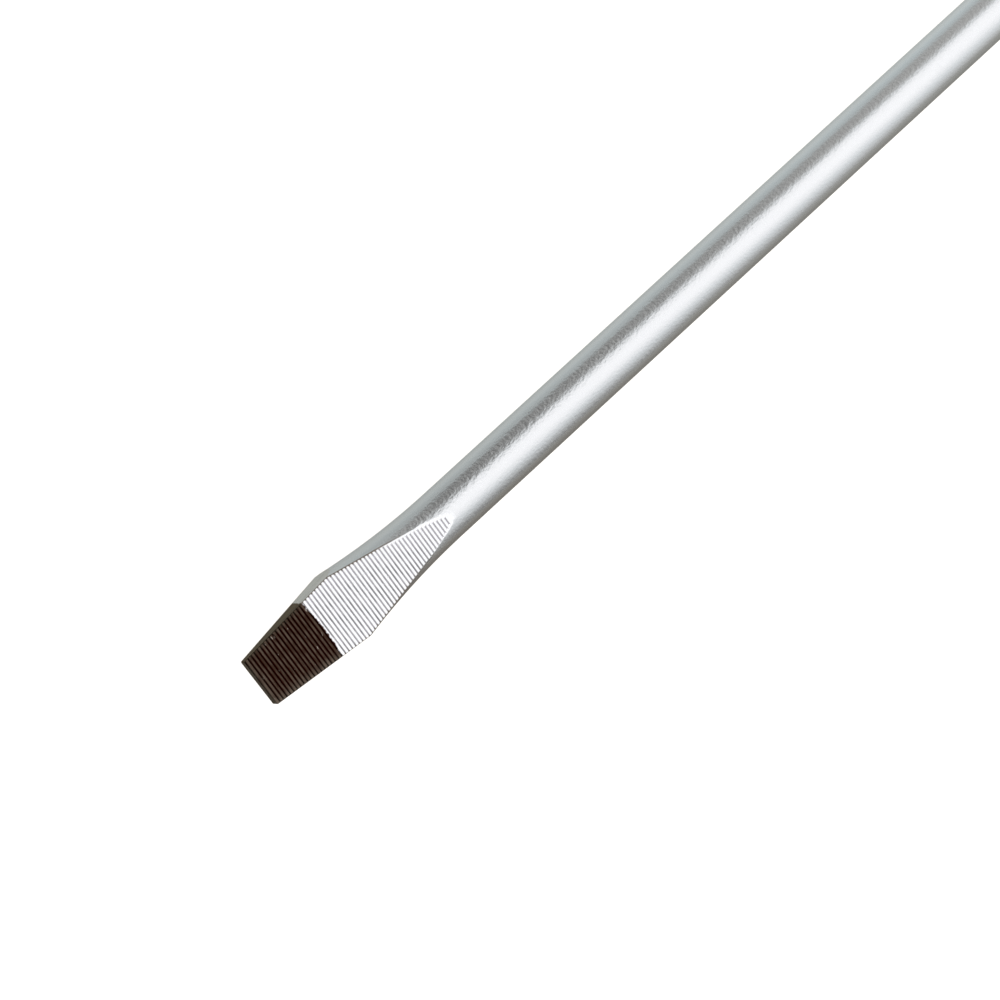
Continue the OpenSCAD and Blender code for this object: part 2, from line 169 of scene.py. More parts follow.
world = bpy.data.worlds.new("studio")
scene.world = world
world.use_nodes = True
studio = world.node_tree
studio.nodes.clear()
way = add(studio, "SeparateXYZ", {0: add(studio, "TexCoord").outputs["Generated"]}).outputs
turn_angle = add(studio, "Math", {0: way["Z"], 1: way["Y"]}, operation="ARCTAN2").outputs[0]
degrees = add(studio, "Math", {0: turn_angle}, operation="DEGREES").outputs[0]
off_middle = add(studio, "Math", {0: degrees, 1: SOFTBOX_MIDDLE}, operation="SUBTRACT").outputs[0]
spread = add(studio, "MapRange", {"Value": way["X"], "From Min": SPREAD_NEAR[0],
                                  "From Max": SPREAD_FAR[0], "To Min": SPREAD_NEAR[1],
                                  "To Max": SPREAD_FAR[1]}).outputs[0]
degrees = add(studio, "Math", {0: off_middle, 1: spread, 2: SOFTBOX_MIDDLE},
              operation="MULTIPLY_ADD").outputs[0]
levels = []
for value, stops in ((degrees, SOFTBOX_ROUND), (way["X"], SOFTBOX_ALONG), (way["X"], WALL_ALONG)):
    first, last = stops[0][0], stops[-1][0]
    place_on = add(studio, "MapRange", {"Value": value, "From Min": first, "From Max": last})
    ramp = add(studio, "ValToRGB", {"Fac": place_on.outputs[0]})
    marks = ramp.color_ramp.elements
    while len(marks) < len(stops):
        marks.new(0.5)
    for mark, (at, level) in zip(marks, stops):
        mark.position = (at - first) / (last - first)
        mark.color = (level, level, level, 1)
    levels.append(ramp.outputs["Color"])
share = add(studio, "Math", {0: levels[0], 1: levels[1]}, operation="MULTIPLY").outputs[0]
glow = add(studio, "Mix", {0: share, 2: levels[2], 3: SOFTBOX}).outputs[0]
print("studio:", [len(stops) for stops in (SOFTBOX_ROUND, SOFTBOX_ALONG, WALL_ALONG)], "stops")

# %% [markdown]
# The light's colour follows how much of it comes from the softbox, with one more ramp. The
# photograph's background is plain white. More light would bleach the tool with it, so the camera
# is shown white paper in the room's place, and only the tool meets the room.

# %% Studio colour and paper
STUDIO_TONES = ((0.0, "#fffdf9"), (0.4, "#fbfeff"), (0.72, "#fffdfd"))

tones = add(studio, "ValToRGB", {"Fac": share})
marks = tones.color_ramp.elements
marks.new(0.5)
for mark, (at, tint) in zip(marks, STUDIO_TONES):
    mark.position, mark.color = at, linear(tint)
rays = add(studio, "LightPath").outputs
plain = add(studio, "Math", {0: rays["Is Camera Ray"], 1: rays["Is Transmission Ray"]},
            operation="MAXIMUM").outputs[0]
room = add(studio, "Background", {"Color": tones.outputs["Color"], "Strength": glow}).outputs[0]
paper = add(studio, "Background", {"Color": linear("#ffffff")}).outputs[0]
seen = add(studio, "MixShader", {0: plain, 1: room, 2: paper}).outputs[0]
add(studio, "OutputWorld", {"Surface": seen})
scene.view_settings.view_transform = "Standard"
print("studio:", len(studio.nodes), "nodes")

# %% [markdown]
# The floor is a sheet of white card under the grip and the hexagonal ring, which the tool lies
# on. It is lit from above to a mid grey, which keeps the tool's soft shadow, and a glow for the
# camera and for the metal that mirrors it makes it white. In the photograph the shank's near
# side mirrors a darker table than its far side, and the far side darkens and turns slightly blue
# with distance. So in the metal the glow ends under the tool, and falls off and cools behind it.

# %% Floor card
FLOOR_GREY, FLOOR_GLOW = "#99938a", 0.82
GLOW_EDGE_Y_MM, GLOW_FALL_Y_MM, GLOW_COOL_Y_MM = (-6, 2), (2, 25), (6, 16)
GLOW_NEAR, GLOW_FAR = 0.765, 0.36
GLOW_NEAR_TINT, GLOW_FAR_TINT = "#f0fbfc", "#e1f6ff"
GLOW_BEHIND_X_MM, GLOW_BEHIND = (12, 70), 0.28

card, tree, spot = new_finish("white_card")
rays = add(tree, "LightPath").outputs
card_x, across, _ = add(tree, "SeparateXYZ", {0: spot}).outputs
start, end = GLOW_EDGE_Y_MM
far_side = add(tree, "MapRange", {"Value": across, "From Min": start, "From Max": end},
               interpolation_type="SMOOTHSTEP").outputs[0]
start, end = GLOW_FALL_Y_MM
fall = add(tree, "MapRange", {"Value": across, "From Min": start, "From Max": end,
                              "To Min": GLOW_NEAR, "To Max": GLOW_FAR}).outputs[0]
far_side = add(tree, "Math", {0: far_side, 1: fall}, operation="MULTIPLY").outputs[0]
start, end = GLOW_BEHIND_X_MM
behind = add(tree, "MapRange", {"Value": card_x, "From Min": start, "From Max": end,
                                "To Max": GLOW_BEHIND}).outputs[0]
mirrored = add(tree, "Math", {0: far_side, 1: behind}, operation="ADD").outputs[0]
bright = add(tree, "Math", {0: rays["Is Camera Ray"], 1: rays["Is Transmission Ray"]},
             operation="MAXIMUM").outputs[0]
bright = add(tree, "Math", {0: bright, 1: FLOOR_GLOW}, operation="MULTIPLY").outputs[0]
glow = add(tree, "Mix", {0: rays["Is Glossy Ray"], 2: bright, 3: mirrored}).outputs[0]
start, end = GLOW_COOL_Y_MM
cool = add(tree, "MapRange", {"Value": across, "From Min": start, "From Max": end}).outputs[0]
tint = add(tree, "Mix", {0: cool, 6: linear(GLOW_NEAR_TINT), 7: linear(GLOW_FAR_TINT)},
           data_type="RGBA").outputs[2]
tint = add(tree, "Mix", {0: rays["Is Glossy Ray"], 6: linear("#ffffff"), 7: tint},
           data_type="RGBA").outputs[2]
matt = add(tree, "BsdfDiffuse", {"Color": linear(FLOOR_GREY)}).outputs[0]
light = add(tree, "Emission", {"Color": tint, "Strength": glow}).outputs[0]
both = add(tree, "AddShader", {0: matt, 1: light}).outputs[0]
add(tree, "OutputMaterial", {"Surface": both})
print("card:", len(tree.nodes), "nodes")

# %% [markdown]
# The sheet itself is one flat disc, much wider than the tool. A disc has no corner that a view
# from the side could show.

# %% Floor sheet
FLOOR_RADIUS_MM, FLOOR_SIDES = 4000, 96

bm = bmesh.new()
bmesh.ops.create_circle(bm, cap_ends=True, segments=FLOOR_SIDES, radius=FLOOR_RADIUS_MM * MM)
bmesh.ops.translate(bm, vec=(tool_length / 2 * MM, 0, cad_box[0].z), verts=bm.verts)
floor = bpy.data.objects.new("floor", bpy.data.meshes.new("floor"))
bm.to_mesh(floor.data)
bm.free()
floor.data.materials.append(card)
scene.collection.objects.link(floor)
print(f"floor: at z = {cad_box[0].z / MM:.2f} mm")

# %% [markdown]
# Nearly every piece is turned on a lathe. In Blender that is a wire, drawn as points of
# (distance along the axis, radius), and spun once round the axis. A third number on a point
# rounds that corner, as a file takes the burr off an edge. Curves along the axis are swept with
# the same spin operator, round a centre that lies off the axis.

# %% Lathe tools
CORNER_STEPS = 3


def points_of(geom):
    """Picks the vertices out of what an operator returns."""
    return [part for part in geom if isinstance(part, bmesh.types.BMVert)]


def chain(bm, points, after=None):
    """Joins (x, radius, rounding) points into a wire, and returns its vertices."""
    made = []
    for x, radius, *rounding in points:
        vert = bm.verts.new((x, 0, radius))
        if after:
            bm.edges.new((after, vert))
        after = vert
        made.append((vert, rounding[0] if rounding else 0))
    return made


def soften(bm, made):
    """Rounds the corners of a finished wire that ask for it."""
    for size in sorted({rounding for _, rounding in made if rounding}):
        bmesh.ops.bevel(bm, geom=[v for v, rounding in made if rounding == size], offset=size,
                        affect="VERTICES", segments=CORNER_STEPS, profile=0.5, material=-1)


def turn(bm, steps):
    """Spins a wire round the tool's axis, and closes the seam and the poles."""
    bmesh.ops.spin(bm, geom=bm.verts[:] + bm.edges[:], cent=(0, 0, 0), axis=(1, 0, 0),
                   angle=math.tau, steps=steps, use_merge=True)
    bmesh.ops.remove_doubles(bm, verts=bm.verts, dist=MERGE_MM)
    bmesh.ops.recalc_face_normals(bm, faces=bm.faces)


def turned(points, steps, closed=False):
    """Makes a lathe piece from one list of points."""
    bm = bmesh.new()
    made = chain(bm, points)
    if closed:
        bm.edges.new((made[-1][0], made[0][0]))
    soften(bm, made)
    turn(bm, steps)
    return bm


print("lathe tools ready")

# %% [markdown]
# Flats are ground with a plane that cuts the mesh and caps the cut. Holes, slots and the milled
# grooves are taken out with closed cutter shapes and Blender's exact Boolean, which is what the
# drill and the milling cutter do. The Boolean leaves points that only halve a straight edge.
# They make slivers when the mesh is cut into triangles, so they are dissolved.

# %% Grinding and milling tools
def grind(bm, point, normal):
    """Cuts off all that lies outside a plane, and closes the cut with one flat face."""
    cut = bmesh.ops.bisect_plane(bm, geom=bm.verts[:] + bm.edges[:] + bm.faces[:], dist=CUT_MM,
                                 plane_co=point, plane_no=normal, clear_outer=True)
    rim = [part for part in cut["geom_cut"] if isinstance(part, bmesh.types.BMEdge)]
    bmesh.ops.contextual_create(bm, geom=rim)


def block(bm, low, high):
    """Adds a box between two corners."""
    made = bmesh.ops.create_cube(bm, size=1)["verts"]
    bmesh.ops.scale(bm, vec=[b - a for a, b in zip(low, high)], verts=made)
    bmesh.ops.translate(bm, vec=[(a + b) / 2 for a, b in zip(low, high)], verts=made)


def mill(bm, cutter):
    """Takes a closed cutter out of a mesh, and returns what is left."""
    helpers = []
    for mesh in (bm, cutter):
        helper = bpy.data.objects.new("helper", bpy.data.meshes.new("helper"))
        mesh.to_mesh(helper.data)
        mesh.free()
        scene.collection.objects.link(helper)
        helpers.append(helper)
    cut = helpers[0].modifiers.new("cut", "BOOLEAN")
    cut.operation, cut.solver, cut.object = "DIFFERENCE", "EXACT", helpers[1]
    left = bmesh.new()
    left.from_object(helpers[0], bpy.context.evaluated_depsgraph_get())
    for helper in helpers:
        data = helper.data
        bpy.data.objects.remove(helper)
        bpy.data.meshes.remove(data)
    bmesh.ops.remove_doubles(left, verts=left.verts, dist=MERGE_MM)
    bmesh.ops.dissolve_verts(left, verts=[v for v in left.verts if len(v.link_edges) == 2])
    return left


print("grinding tools ready")

# %% [markdown]
# A finished mesh becomes an object that stands where its solid stood. Edges steeper than a given
# angle stay crisp, and the rest are shaded smoothly. The Weighted Normal modifier keeps large
# flats flat beside their rounded edges. It is applied while the mesh is still in millimetres,
# because it drops faces that are as small as these are in metres.

# %% Finishing a piece
def place(name, bm, finish, body, solid, crisp=28):
    """Makes a mesh in millimetres an object in metres, riding on a body in a solid's place."""
    for edge in bm.edges:
        edge.smooth = len(edge.link_faces) == 2 and edge.calc_face_angle() < math.radians(crisp)
    for face in bm.faces:
        face.smooth = True
    rough_mesh = bpy.data.meshes.new("rough")
    bm.to_mesh(rough_mesh)
    bm.free()
    piece = bpy.data.objects.new(name, rough_mesh)
    scene.collection.objects.link(piece)
    weights = piece.modifiers.new("flat_faces", "WEIGHTED_NORMAL")
    weights.keep_sharp = True
    weighted = piece.evaluated_get(bpy.context.evaluated_depsgraph_get())
    piece.data = bpy.data.meshes.new_from_object(weighted)
    piece.modifiers.clear()
    bpy.data.meshes.remove(rough_mesh)
    piece.data.name = name
    piece.data.transform(Matrix.Scale(MM, 4))
    piece.data.materials.append(finish)
    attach(piece, body)
    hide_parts(solid)
    _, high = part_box(solid)
    reach = max((Vector(corner) / MM).length for corner in piece.bound_box)
    print(f"{name}: {len(piece.data.polygons)} faces, solid ends at x = {high.x / MM:.2f} mm, "
          f"mesh reaches {reach:.2f} mm")


print("placing ready")

# %% [markdown]
# The blade is one bar of tool steel with a flared tip, blasted, chromed and blackened in front.
# Its sizes come first, because the finish needs them too: the material works out from the place
# on the blade, in millimetres, where a face, a side or a groove lies. Masks could also be painted
# on the mesh, but a place is exact however the mesh is cut.

# %% Blade sizes
SHANK_R, BLADE_END = 1.5, 95.0
FACE_END, TIP_HALF_T = 13.6, 0.25
FLARE_R, FLARE_END = 46.0, 13.8
TIP_HALF_W, SIDE_SLOPE = 1.455, math.radians(4.9)
GROOVE_FIRST, GROOVE_PITCH, GROOVE_LEAN = 0.027, 0.2269, math.radians(-0.9)

face_rise = (SHANK_R - TIP_HALF_T) / FACE_END
blade_finish, tree, spot = new_finish("satin_chrome_black_tip")
part = add(tree, "SeparateXYZ", {0: spot}).outputs
half_y = add(tree, "Math", {0: part["Y"]}, operation="ABSOLUTE").outputs[0]
half_z = add(tree, "Math", {0: part["Z"]}, operation="ABSOLUTE").outputs[0]
print(f"blade tip: {2 * TIP_HALF_W:.2f} x {2 * TIP_HALF_T:.2f} mm, sloping {face_rise:.4f}")

# %% [markdown]
# The front 4.4 mm of the blade is blackened by a dip, which leaves a thin dark oxide. The dip
# ends at a line that bows towards the handle in the middle of the face. A broad noise makes the
# line slightly wavy, and a fine one makes it ragged, as flaking oxide is.

# %% Blade finish: edge of the blackening
BLACK_END_MM, BLACK_BOW_MM, BLACK_HALF_WIDTH_MM = 4.28, 0.16, 1.85
BLACK_WAVES = ((1.6, 0.12), (6.0, 0.09))  # waves to a millimetre, and their height in mm
BLACK_SOFT_MM = 0.03

across = add(tree, "Math", {0: half_y, 1: BLACK_HALF_WIDTH_MM}, operation="DIVIDE").outputs[0]
across = add(tree, "Math", {0: across, 1: 2.0}, operation="POWER").outputs[0]
border = add(tree, "MapRange", {"Value": across, "To Min": BLACK_END_MM + BLACK_BOW_MM,
                                "To Max": BLACK_END_MM}).outputs[0]
for per_mm, height in BLACK_WAVES:
    wave = add(tree, "TexNoise", {"Vector": spot, "Scale": per_mm, "Detail": 2.0}).outputs["Fac"]
    wave = add(tree, "MapRange", {"Value": wave, "To Min": -height, "To Max": height}).outputs[0]
    border = add(tree, "Math", {0: border, 1: wave}, operation="ADD").outputs[0]
past = add(tree, "Math", {0: part["X"], 1: border}, operation="SUBTRACT").outputs[0]
plated = add(tree, "MapRange", {"Value": past, "From Min": -BLACK_SOFT_MM,
                                "From Max": BLACK_SOFT_MM},
             interpolation_type="SMOOTHSTEP").outputs[0]
print(f"blackened up to {BLACK_END_MM + BLACK_BOW_MM:.2f} mm")

# %% [markdown]
# The grooves are found from their pitch, as the distance to the middle of the nearest one. A
# point belongs to a wide face when it lies no deeper below the face's plane than a groove does,
# and to a narrow side when it lies in the side's plane.

# %% Blade finish: grooves, faces and sides
ON_FACE_MM = {"From Min": 0.05, "From Max": 0.07}
ON_SIDE_MM = {"From Min": 0.004, "From Max": 0.02}
GROOVES_END_X_MM = {"From Min": 13.25, "From Max": 13.35}

side = add(tree, "Math", {0: part["Z"]}, operation="SIGN").outputs[0]
lean = add(tree, "Math", {0: part["Y"], 1: side}, operation="MULTIPLY").outputs[0]
run = add(tree, "Math", {0: lean, 1: math.sin(GROOVE_LEAN), 2: part["X"]},
          operation="MULTIPLY_ADD").outputs[0]
run = add(tree, "Math", {0: run, 1: GROOVE_FIRST}, operation="SUBTRACT").outputs[0]
run = add(tree, "Math", {0: run, 1: GROOVE_PITCH}, operation="DIVIDE").outputs[0]
off_groove = add(tree, "Math", {0: run, 1: 0.5}, operation="PINGPONG").outputs[0]

face_z = add(tree, "Math", {0: part["X"], 1: face_rise, 2: TIP_HALF_T},
             operation="MULTIPLY_ADD").outputs[0]
depth = add(tree, "Math", {0: face_z, 1: half_z}, operation="SUBTRACT").outputs[0]
on_face = add(tree, "MapRange", {"Value": depth, **ON_FACE_MM, **FADE_OUT}).outputs[0]
grooved = add(tree, "MapRange", {"Value": part["X"], **GROOVES_END_X_MM, **FADE_OUT}).outputs[0]
on_face = add(tree, "Math", {0: on_face, 1: grooved}, operation="MULTIPLY").outputs[0]

side_y = add(tree, "Math", {0: part["X"], 1: math.tan(SIDE_SLOPE), 2: TIP_HALF_W},
             operation="MULTIPLY_ADD").outputs[0]
from_side = add(tree, "Math", {0: side_y, 1: half_y}, operation="SUBTRACT").outputs[0]
on_side = add(tree, "MapRange", {"Value": from_side, **ON_SIDE_MM, **FADE_OUT}).outputs[0]
print("places on the tip:", len(tree.nodes), "nodes")

# %% [markdown]
# Along its outline a face is rubbed smooth, and the grooves lose their colour there. How far in
# from the outline a point lies is the smaller of two distances, to the flare's surface and to the
# ground side. Towards the shank the face gets narrow and the rubbed border with it.

# %% Blade finish: the faces' outline
OUTLINE_MM = {"From Min": 0.03, "From Max": 0.12}
NARROW_X_MM = {"From Min": 11.8, "From Max": 12.6}
NARROWED = {"To Min": 1.0, "To Max": 6.0}
RIM_DEPTH_MM = {"From Min": 0.002, "From Max": 0.010}
RIM_END_X_MM = {"From Min": 9.0, "From Max": 11.5}

to_flare = add(tree, "Math", {0: FLARE_END, 1: part["X"]}, operation="SUBTRACT").outputs[0]
to_flare = add(tree, "Math", {0: to_flare, 1: 2.0}, operation="POWER").outputs[0]
flare_r = add(tree, "Math", {0: to_flare, 1: 0.5 / FLARE_R, 2: SHANK_R},
              operation="MULTIPLY_ADD").outputs[0]
off_axis = add(tree, "VectorMath", {0: spot, 1: (0, 1, 1)}, operation="MULTIPLY").outputs[0]
off_axis = add(tree, "VectorMath", {0: off_axis}, operation="LENGTH").outputs["Value"]
inside = add(tree, "Math", {0: flare_r, 1: off_axis}, operation="SUBTRACT").outputs[0]
inside = add(tree, "Math", {0: inside, 1: from_side}, operation="MINIMUM").outputs[0]

narrow = add(tree, "MapRange", {"Value": part["X"], **NARROW_X_MM, **NARROWED}).outputs[0]
inner = add(tree, "Math", {0: inside, 1: narrow}, operation="MULTIPLY").outputs[0]
inner = add(tree, "MapRange", {"Value": inner, **OUTLINE_MM}).outputs[0]
ribbed = add(tree, "Math", {0: on_face, 1: inner}, operation="MULTIPLY").outputs[0]

# Painted shade: a thin dark line along the face's rounded edge, inside the outline.
rim = add(tree, "Math", {0: on_face, 1: ribbed}, operation="SUBTRACT", use_clamp=True).outputs[0]
below_rim = add(tree, "MapRange", {"Value": depth, **RIM_DEPTH_MM}).outputs[0]
rim_end = add(tree, "MapRange", {"Value": part["X"], **RIM_END_X_MM, **FADE_OUT}).outputs[0]
for mask in (below_rim, rim_end):
    rim = add(tree, "Math", {0: rim, 1: mask}, operation="MULTIPLY").outputs[0]
print("with the outline:", len(tree.nodes), "nodes")

# %% [markdown]
# Use wears the oxide off. It is thinnest at the end edge and along the right edge, where the
# tool is held against the slot, and there the grooves' dark red shows least. On plating a groove
# gets only a narrower line of painted shade, at its root.

# %% Blade finish: worn grooves
BLACK_GROOVE = {"From Min": 0.18, "From Max": 0.36}  # in pitches from the groove's middle
BRIGHT_GROOVE = {"From Min": 0.12, "From Max": 0.24}
WORN_OUTLINE_MM, WORN_END_MM = {"From Min": 0.04, "From Max": 0.26}, 0.05
WORN_RIGHT_MM = {"From Min": 0.1, "From Max": 0.55}
WORN_TIP_X_MM, WORN_TIP = {"From Min": 0.1, "From Max": 0.6}, 0.35
RED_LEFT = 0.2

from_end = add(tree, "Math", {0: part["X"], 1: WORN_END_MM}, operation="ADD").outputs[0]
worn_in = add(tree, "Math", {0: inside, 1: from_end}, operation="MINIMUM").outputs[0]
worn_in = add(tree, "MapRange", {"Value": worn_in, **WORN_OUTLINE_MM}).outputs[0]
from_right = add(tree, "Math", {0: side_y, 1: part["Y"]}, operation="ADD").outputs[0]
wear = add(tree, "MapRange", {"Value": from_right, **WORN_RIGHT_MM, **FADE_OUT}).outputs[0]
end_wear = add(tree, "MapRange", {"Value": part["X"], **WORN_TIP_X_MM, "To Min": WORN_TIP,
                                  "To Max": 0.0}).outputs[0]
wear = add(tree, "Math", {0: wear, 1: end_wear}, operation="MAXIMUM").outputs[0]
unworn = add(tree, "MapRange", {"Value": wear, "To Min": 1.0, "To Max": RED_LEFT}).outputs[0]

black_groove = add(tree, "MapRange", {"Value": off_groove, **BLACK_GROOVE, **FADE_OUT}).outputs[0]
for mask in (ribbed, worn_in, unworn):
    black_groove = add(tree, "Math", {0: black_groove, 1: mask}, operation="MULTIPLY").outputs[0]
# Painted shade: the narrower line at each groove's root on the plating.
bright_groove = add(tree, "MapRange", {"Value": off_groove, **BRIGHT_GROOVE,
                                       **FADE_OUT}).outputs[0]
bright_groove = add(tree, "Math", {0: bright_groove, 1: ribbed}, operation="MULTIPLY").outputs[0]
print("with the wear:", len(tree.nodes), "nodes")

# %% [markdown]
# Three noises give the marks that follow no place: streaks that the grinding wheel left along the
# narrow sides, smears across the faces, and scratches, which are only the rare peaks of the third
# noise. Each is stretched along its run. A bruise near the left corner lets more scratches through.

# %% Blade finish: streaks, smears and scratches
STREAK_PER_MM, SMEAR_PER_MM, SCRATCH_PER_MM = (0.4, 2.0, 7.0), (6.0, 1.6, 1.6), (7.0, 2.5, 2.5)
STREAK_LEVEL = {"From Min": 0.35, "From Max": 0.65}
SMEAR_LEVEL = {"From Min": 0.40, "From Max": 0.60}
SCRATCH_LEVEL = {"From Min": 0.69, "From Max": 0.75}
BRUISE_MM, BRUISE_SIZE_MM = (1.77, 1.36, 0.41), {"From Min": 0.1, "From Max": 0.5}
BRUISE = 0.12

noises = []
for per_mm, detail in ((STREAK_PER_MM, 2.0), (SMEAR_PER_MM, 4.0), (SCRATCH_PER_MM, 3.0)):
    drawn = add(tree, "Mapping", {"Vector": spot, "Scale": per_mm}).outputs[0]
    drawn = add(tree, "TexNoise", {"Vector": drawn, "Scale": 1.0, "Detail": detail})
    noises.append(drawn.outputs["Fac"])
streak, smear, scratch = noises
streak = add(tree, "MapRange", {"Value": streak, **STREAK_LEVEL}).outputs[0]
smear = add(tree, "MapRange", {"Value": smear, **SMEAR_LEVEL}).outputs[0]
bruise = add(tree, "VectorMath", {0: spot, 1: BRUISE_MM}, operation="DISTANCE").outputs["Value"]
bruise = add(tree, "MapRange", {"Value": bruise, **BRUISE_SIZE_MM, "To Min": BRUISE,
                                "To Max": 0.0}).outputs[0]
scratch = add(tree, "Math", {0: scratch, 1: bruise}, operation="ADD").outputs[0]
scratch = add(tree, "MapRange", {"Value": scratch, **SCRATCH_LEVEL}).outputs[0]
print("with the marks:", len(tree.nodes), "nodes")

# %% [markdown]
# The colour is built in two coats, oxide and chrome, and the line of the dip chooses between
# them. Oxide looks grey-brown on a rib and reddish in a groove. Chrome is a pale neutral grey with
# uneven grey painted shade in its grooves, less of it at the left edge and towards the shank, and
# a darker line of painted shade along the rounded edge of the face.

# %% Blade finish: colours
OXIDE, OXIDE_SIDE = ("#2a2019", "#3e362e"), ("#332b20", "#4b4131")
CHROME, CHROME_SIDE = "#b6b8ba", ("#aaa9a6", "#bfbebb")
# Painted shade: grey in the plated grooves, and a darker line along the face's rounded edge.
GROOVE_SHADE, GROOVE_SHADE_LEAST, CHROME_RIM_SHADE = ("#a5a4a8", "#c3c2c6"), "#cbcacf", "#857c75"
GLANCING = ("#cbc7c2", "#cbcbcb")  # of oxide and of chrome, seen at a low angle
OXIDE_WORN, OXIDE_GROOVE, OXIDE_SCRATCH, WORN_SHARE = "#6b6259", "#250401", "#77716a", 0.2
# Where the grooves' painted shade is lighter: near the left edge and towards the shank.
LESS_SHADE_EDGE_MM, LESS_SHADE_LEFT_Y_MM = {"From Min": 0.1, "From Max": 0.8}, {"From Max": 0.4}
LESS_SHADE_X_MM, LESS_SHADE_SHARE = {"From Min": 10.5, "From Max": 12.5}, 0.8

pairs = []
for mask, (dark, light) in ((smear, OXIDE), (streak, OXIDE_SIDE), (streak, CHROME_SIDE),
                            (smear, GROOVE_SHADE), (plated, GLANCING)):
    pairs.append(add(tree, "Mix", {0: mask, 6: linear(dark), 7: linear(light)},
                     data_type="RGBA").outputs[2])
oxide, oxide_side, chrome_side, groove_shade, edge_tint = pairs
wear_and_highlight = add(tree, "Math", {0: wear, 1: WORN_SHARE}, operation="MULTIPLY").outputs[0]
for mask, tint in ((wear_and_highlight, OXIDE_WORN), (black_groove, OXIDE_GROOVE), (scratch, OXIDE_SCRATCH)):
    oxide = add(tree, "Mix", {0: mask, 6: oxide, 7: linear(tint)}, data_type="RGBA").outputs[2]
oxide = add(tree, "Mix", {0: on_side, 6: oxide, 7: oxide_side}, data_type="RGBA").outputs[2]

# The grooves' painted shade gets lighter near the left edge and towards the shank.
to_left = add(tree, "MapRange", {"Value": inside, **LESS_SHADE_EDGE_MM, **FADE_OUT}).outputs[0]
left = add(tree, "MapRange", {"Value": part["Y"], **LESS_SHADE_LEFT_Y_MM}).outputs[0]
to_left = add(tree, "Math", {0: to_left, 1: left}, operation="MULTIPLY").outputs[0]
less_shade = add(tree, "MapRange", {"Value": part["X"], **LESS_SHADE_X_MM, "To Max": LESS_SHADE_SHARE}).outputs[0]
less_shade = add(tree, "Math", {0: to_left, 1: less_shade}, operation="MAXIMUM").outputs[0]
groove_shade = add(tree, "Mix", {0: less_shade, 6: groove_shade, 7: linear(GROOVE_SHADE_LEAST)}, data_type="RGBA").outputs[2]
chrome = linear(CHROME)
# Painted shade goes into the chrome here: grey in the grooves and a dark line along the rim.
for mask, tint in ((bright_groove, groove_shade), (on_side, chrome_side), (rim, linear(CHROME_RIM_SHADE))):
    chrome = add(tree, "Mix", {0: mask, 6: chrome, 7: tint}, data_type="RGBA").outputs[2]
colour = add(tree, "Mix", {0: plated, 6: oxide, 7: chrome}, data_type="RGBA").outputs[2]
print("with the colours:", len(tree.nodes), "nodes")

# %% [markdown]
# Satin chrome is blasted with fine beads before it is plated, so its mirror is broken into a fine
# grain. Real bead marks are about 0.02 mm. They are drawn about seven times as coarse, 0.14 mm
# round the shank and a little longer along it, because finer ones would not show. In the
# photograph the grain shows most beside the highlight and fades towards the handle, and so does
# the bump here.

# %% Blade finish: grain
CHROME_ROUGH, ROUGH_SPREAD, OXIDE_ROUGH = 0.26, 0.04, 0.36
GRAIN_MM, GRAIN_STRETCH, GRAIN_HEIGHT_MM = 0.10, (0.52, 0.70, 0.70), 0.018
GRAIN_FADE_X_MM, GRAIN_FADED = {"From Min": 18, "From Max": 46}, 0.55
GRAIN_BAND_Y_MM, GRAIN_BAND_MM = 0.70, {"From Min": 0.15, "From Max": 0.70}
GRAIN_BESIDE = 0.50

grain = add(tree, "Mapping", {"Vector": spot, "Scale": GRAIN_STRETCH}).outputs[0]
grain = add(tree, "TexNoise", {"Vector": grain, "Scale": 1 / GRAIN_MM, "Detail": 1.0})
grain = grain.outputs["Fac"]
chrome_rough = add(tree, "MapRange", {"Value": grain, "To Min": CHROME_ROUGH - ROUGH_SPREAD,
                                      "To Max": CHROME_ROUGH + ROUGH_SPREAD}).outputs[0]
rough = add(tree, "Mix", {0: plated, 2: OXIDE_ROUGH, 3: chrome_rough}).outputs[0]
strength = add(tree, "MapRange", {"Value": part["X"], **GRAIN_FADE_X_MM, "To Min": 1.0,
                                  "To Max": GRAIN_FADED}).outputs[0]
off_band = add(tree, "Math", {0: part["Y"], 1: GRAIN_BAND_Y_MM}, operation="SUBTRACT").outputs[0]
off_band = add(tree, "Math", {0: off_band}, operation="ABSOLUTE").outputs[0]
band = add(tree, "MapRange", {"Value": off_band, **GRAIN_BAND_MM, "To Min": 1.0,
                              "To Max": GRAIN_BESIDE},
           interpolation_type="SMOOTHSTEP").outputs[0]
strength = add(tree, "Math", {0: strength, 1: band}, operation="MULTIPLY").outputs[0]
bump = add(tree, "Bump", {"Height": grain, "Distance": GRAIN_HEIGHT_MM * MM,
                          "Strength": strength}).outputs[0]
metal = add(tree, "BsdfPrincipled", {"Base Color": colour, "Roughness": rough, "Normal": bump,
                                     "Metallic": 1.0, "Specular Tint": edge_tint}).outputs[0]
add(tree, "OutputMaterial", {"Surface": metal})
print("blade finish:", len(tree.nodes), "nodes")

# %% [markdown]
# The blade starts as a round bar with a trumpet flare at its front, all turned. The flare is an
# arc of a large circle, swept by spinning one point. The two narrow sides are ground nearly
# parallel, and the sharp corners of the end edge are broken.

# %% Blade blank
TIP_BREAK, END_CHAMFER, END_ROUND = 0.06, 0.3, 0.05

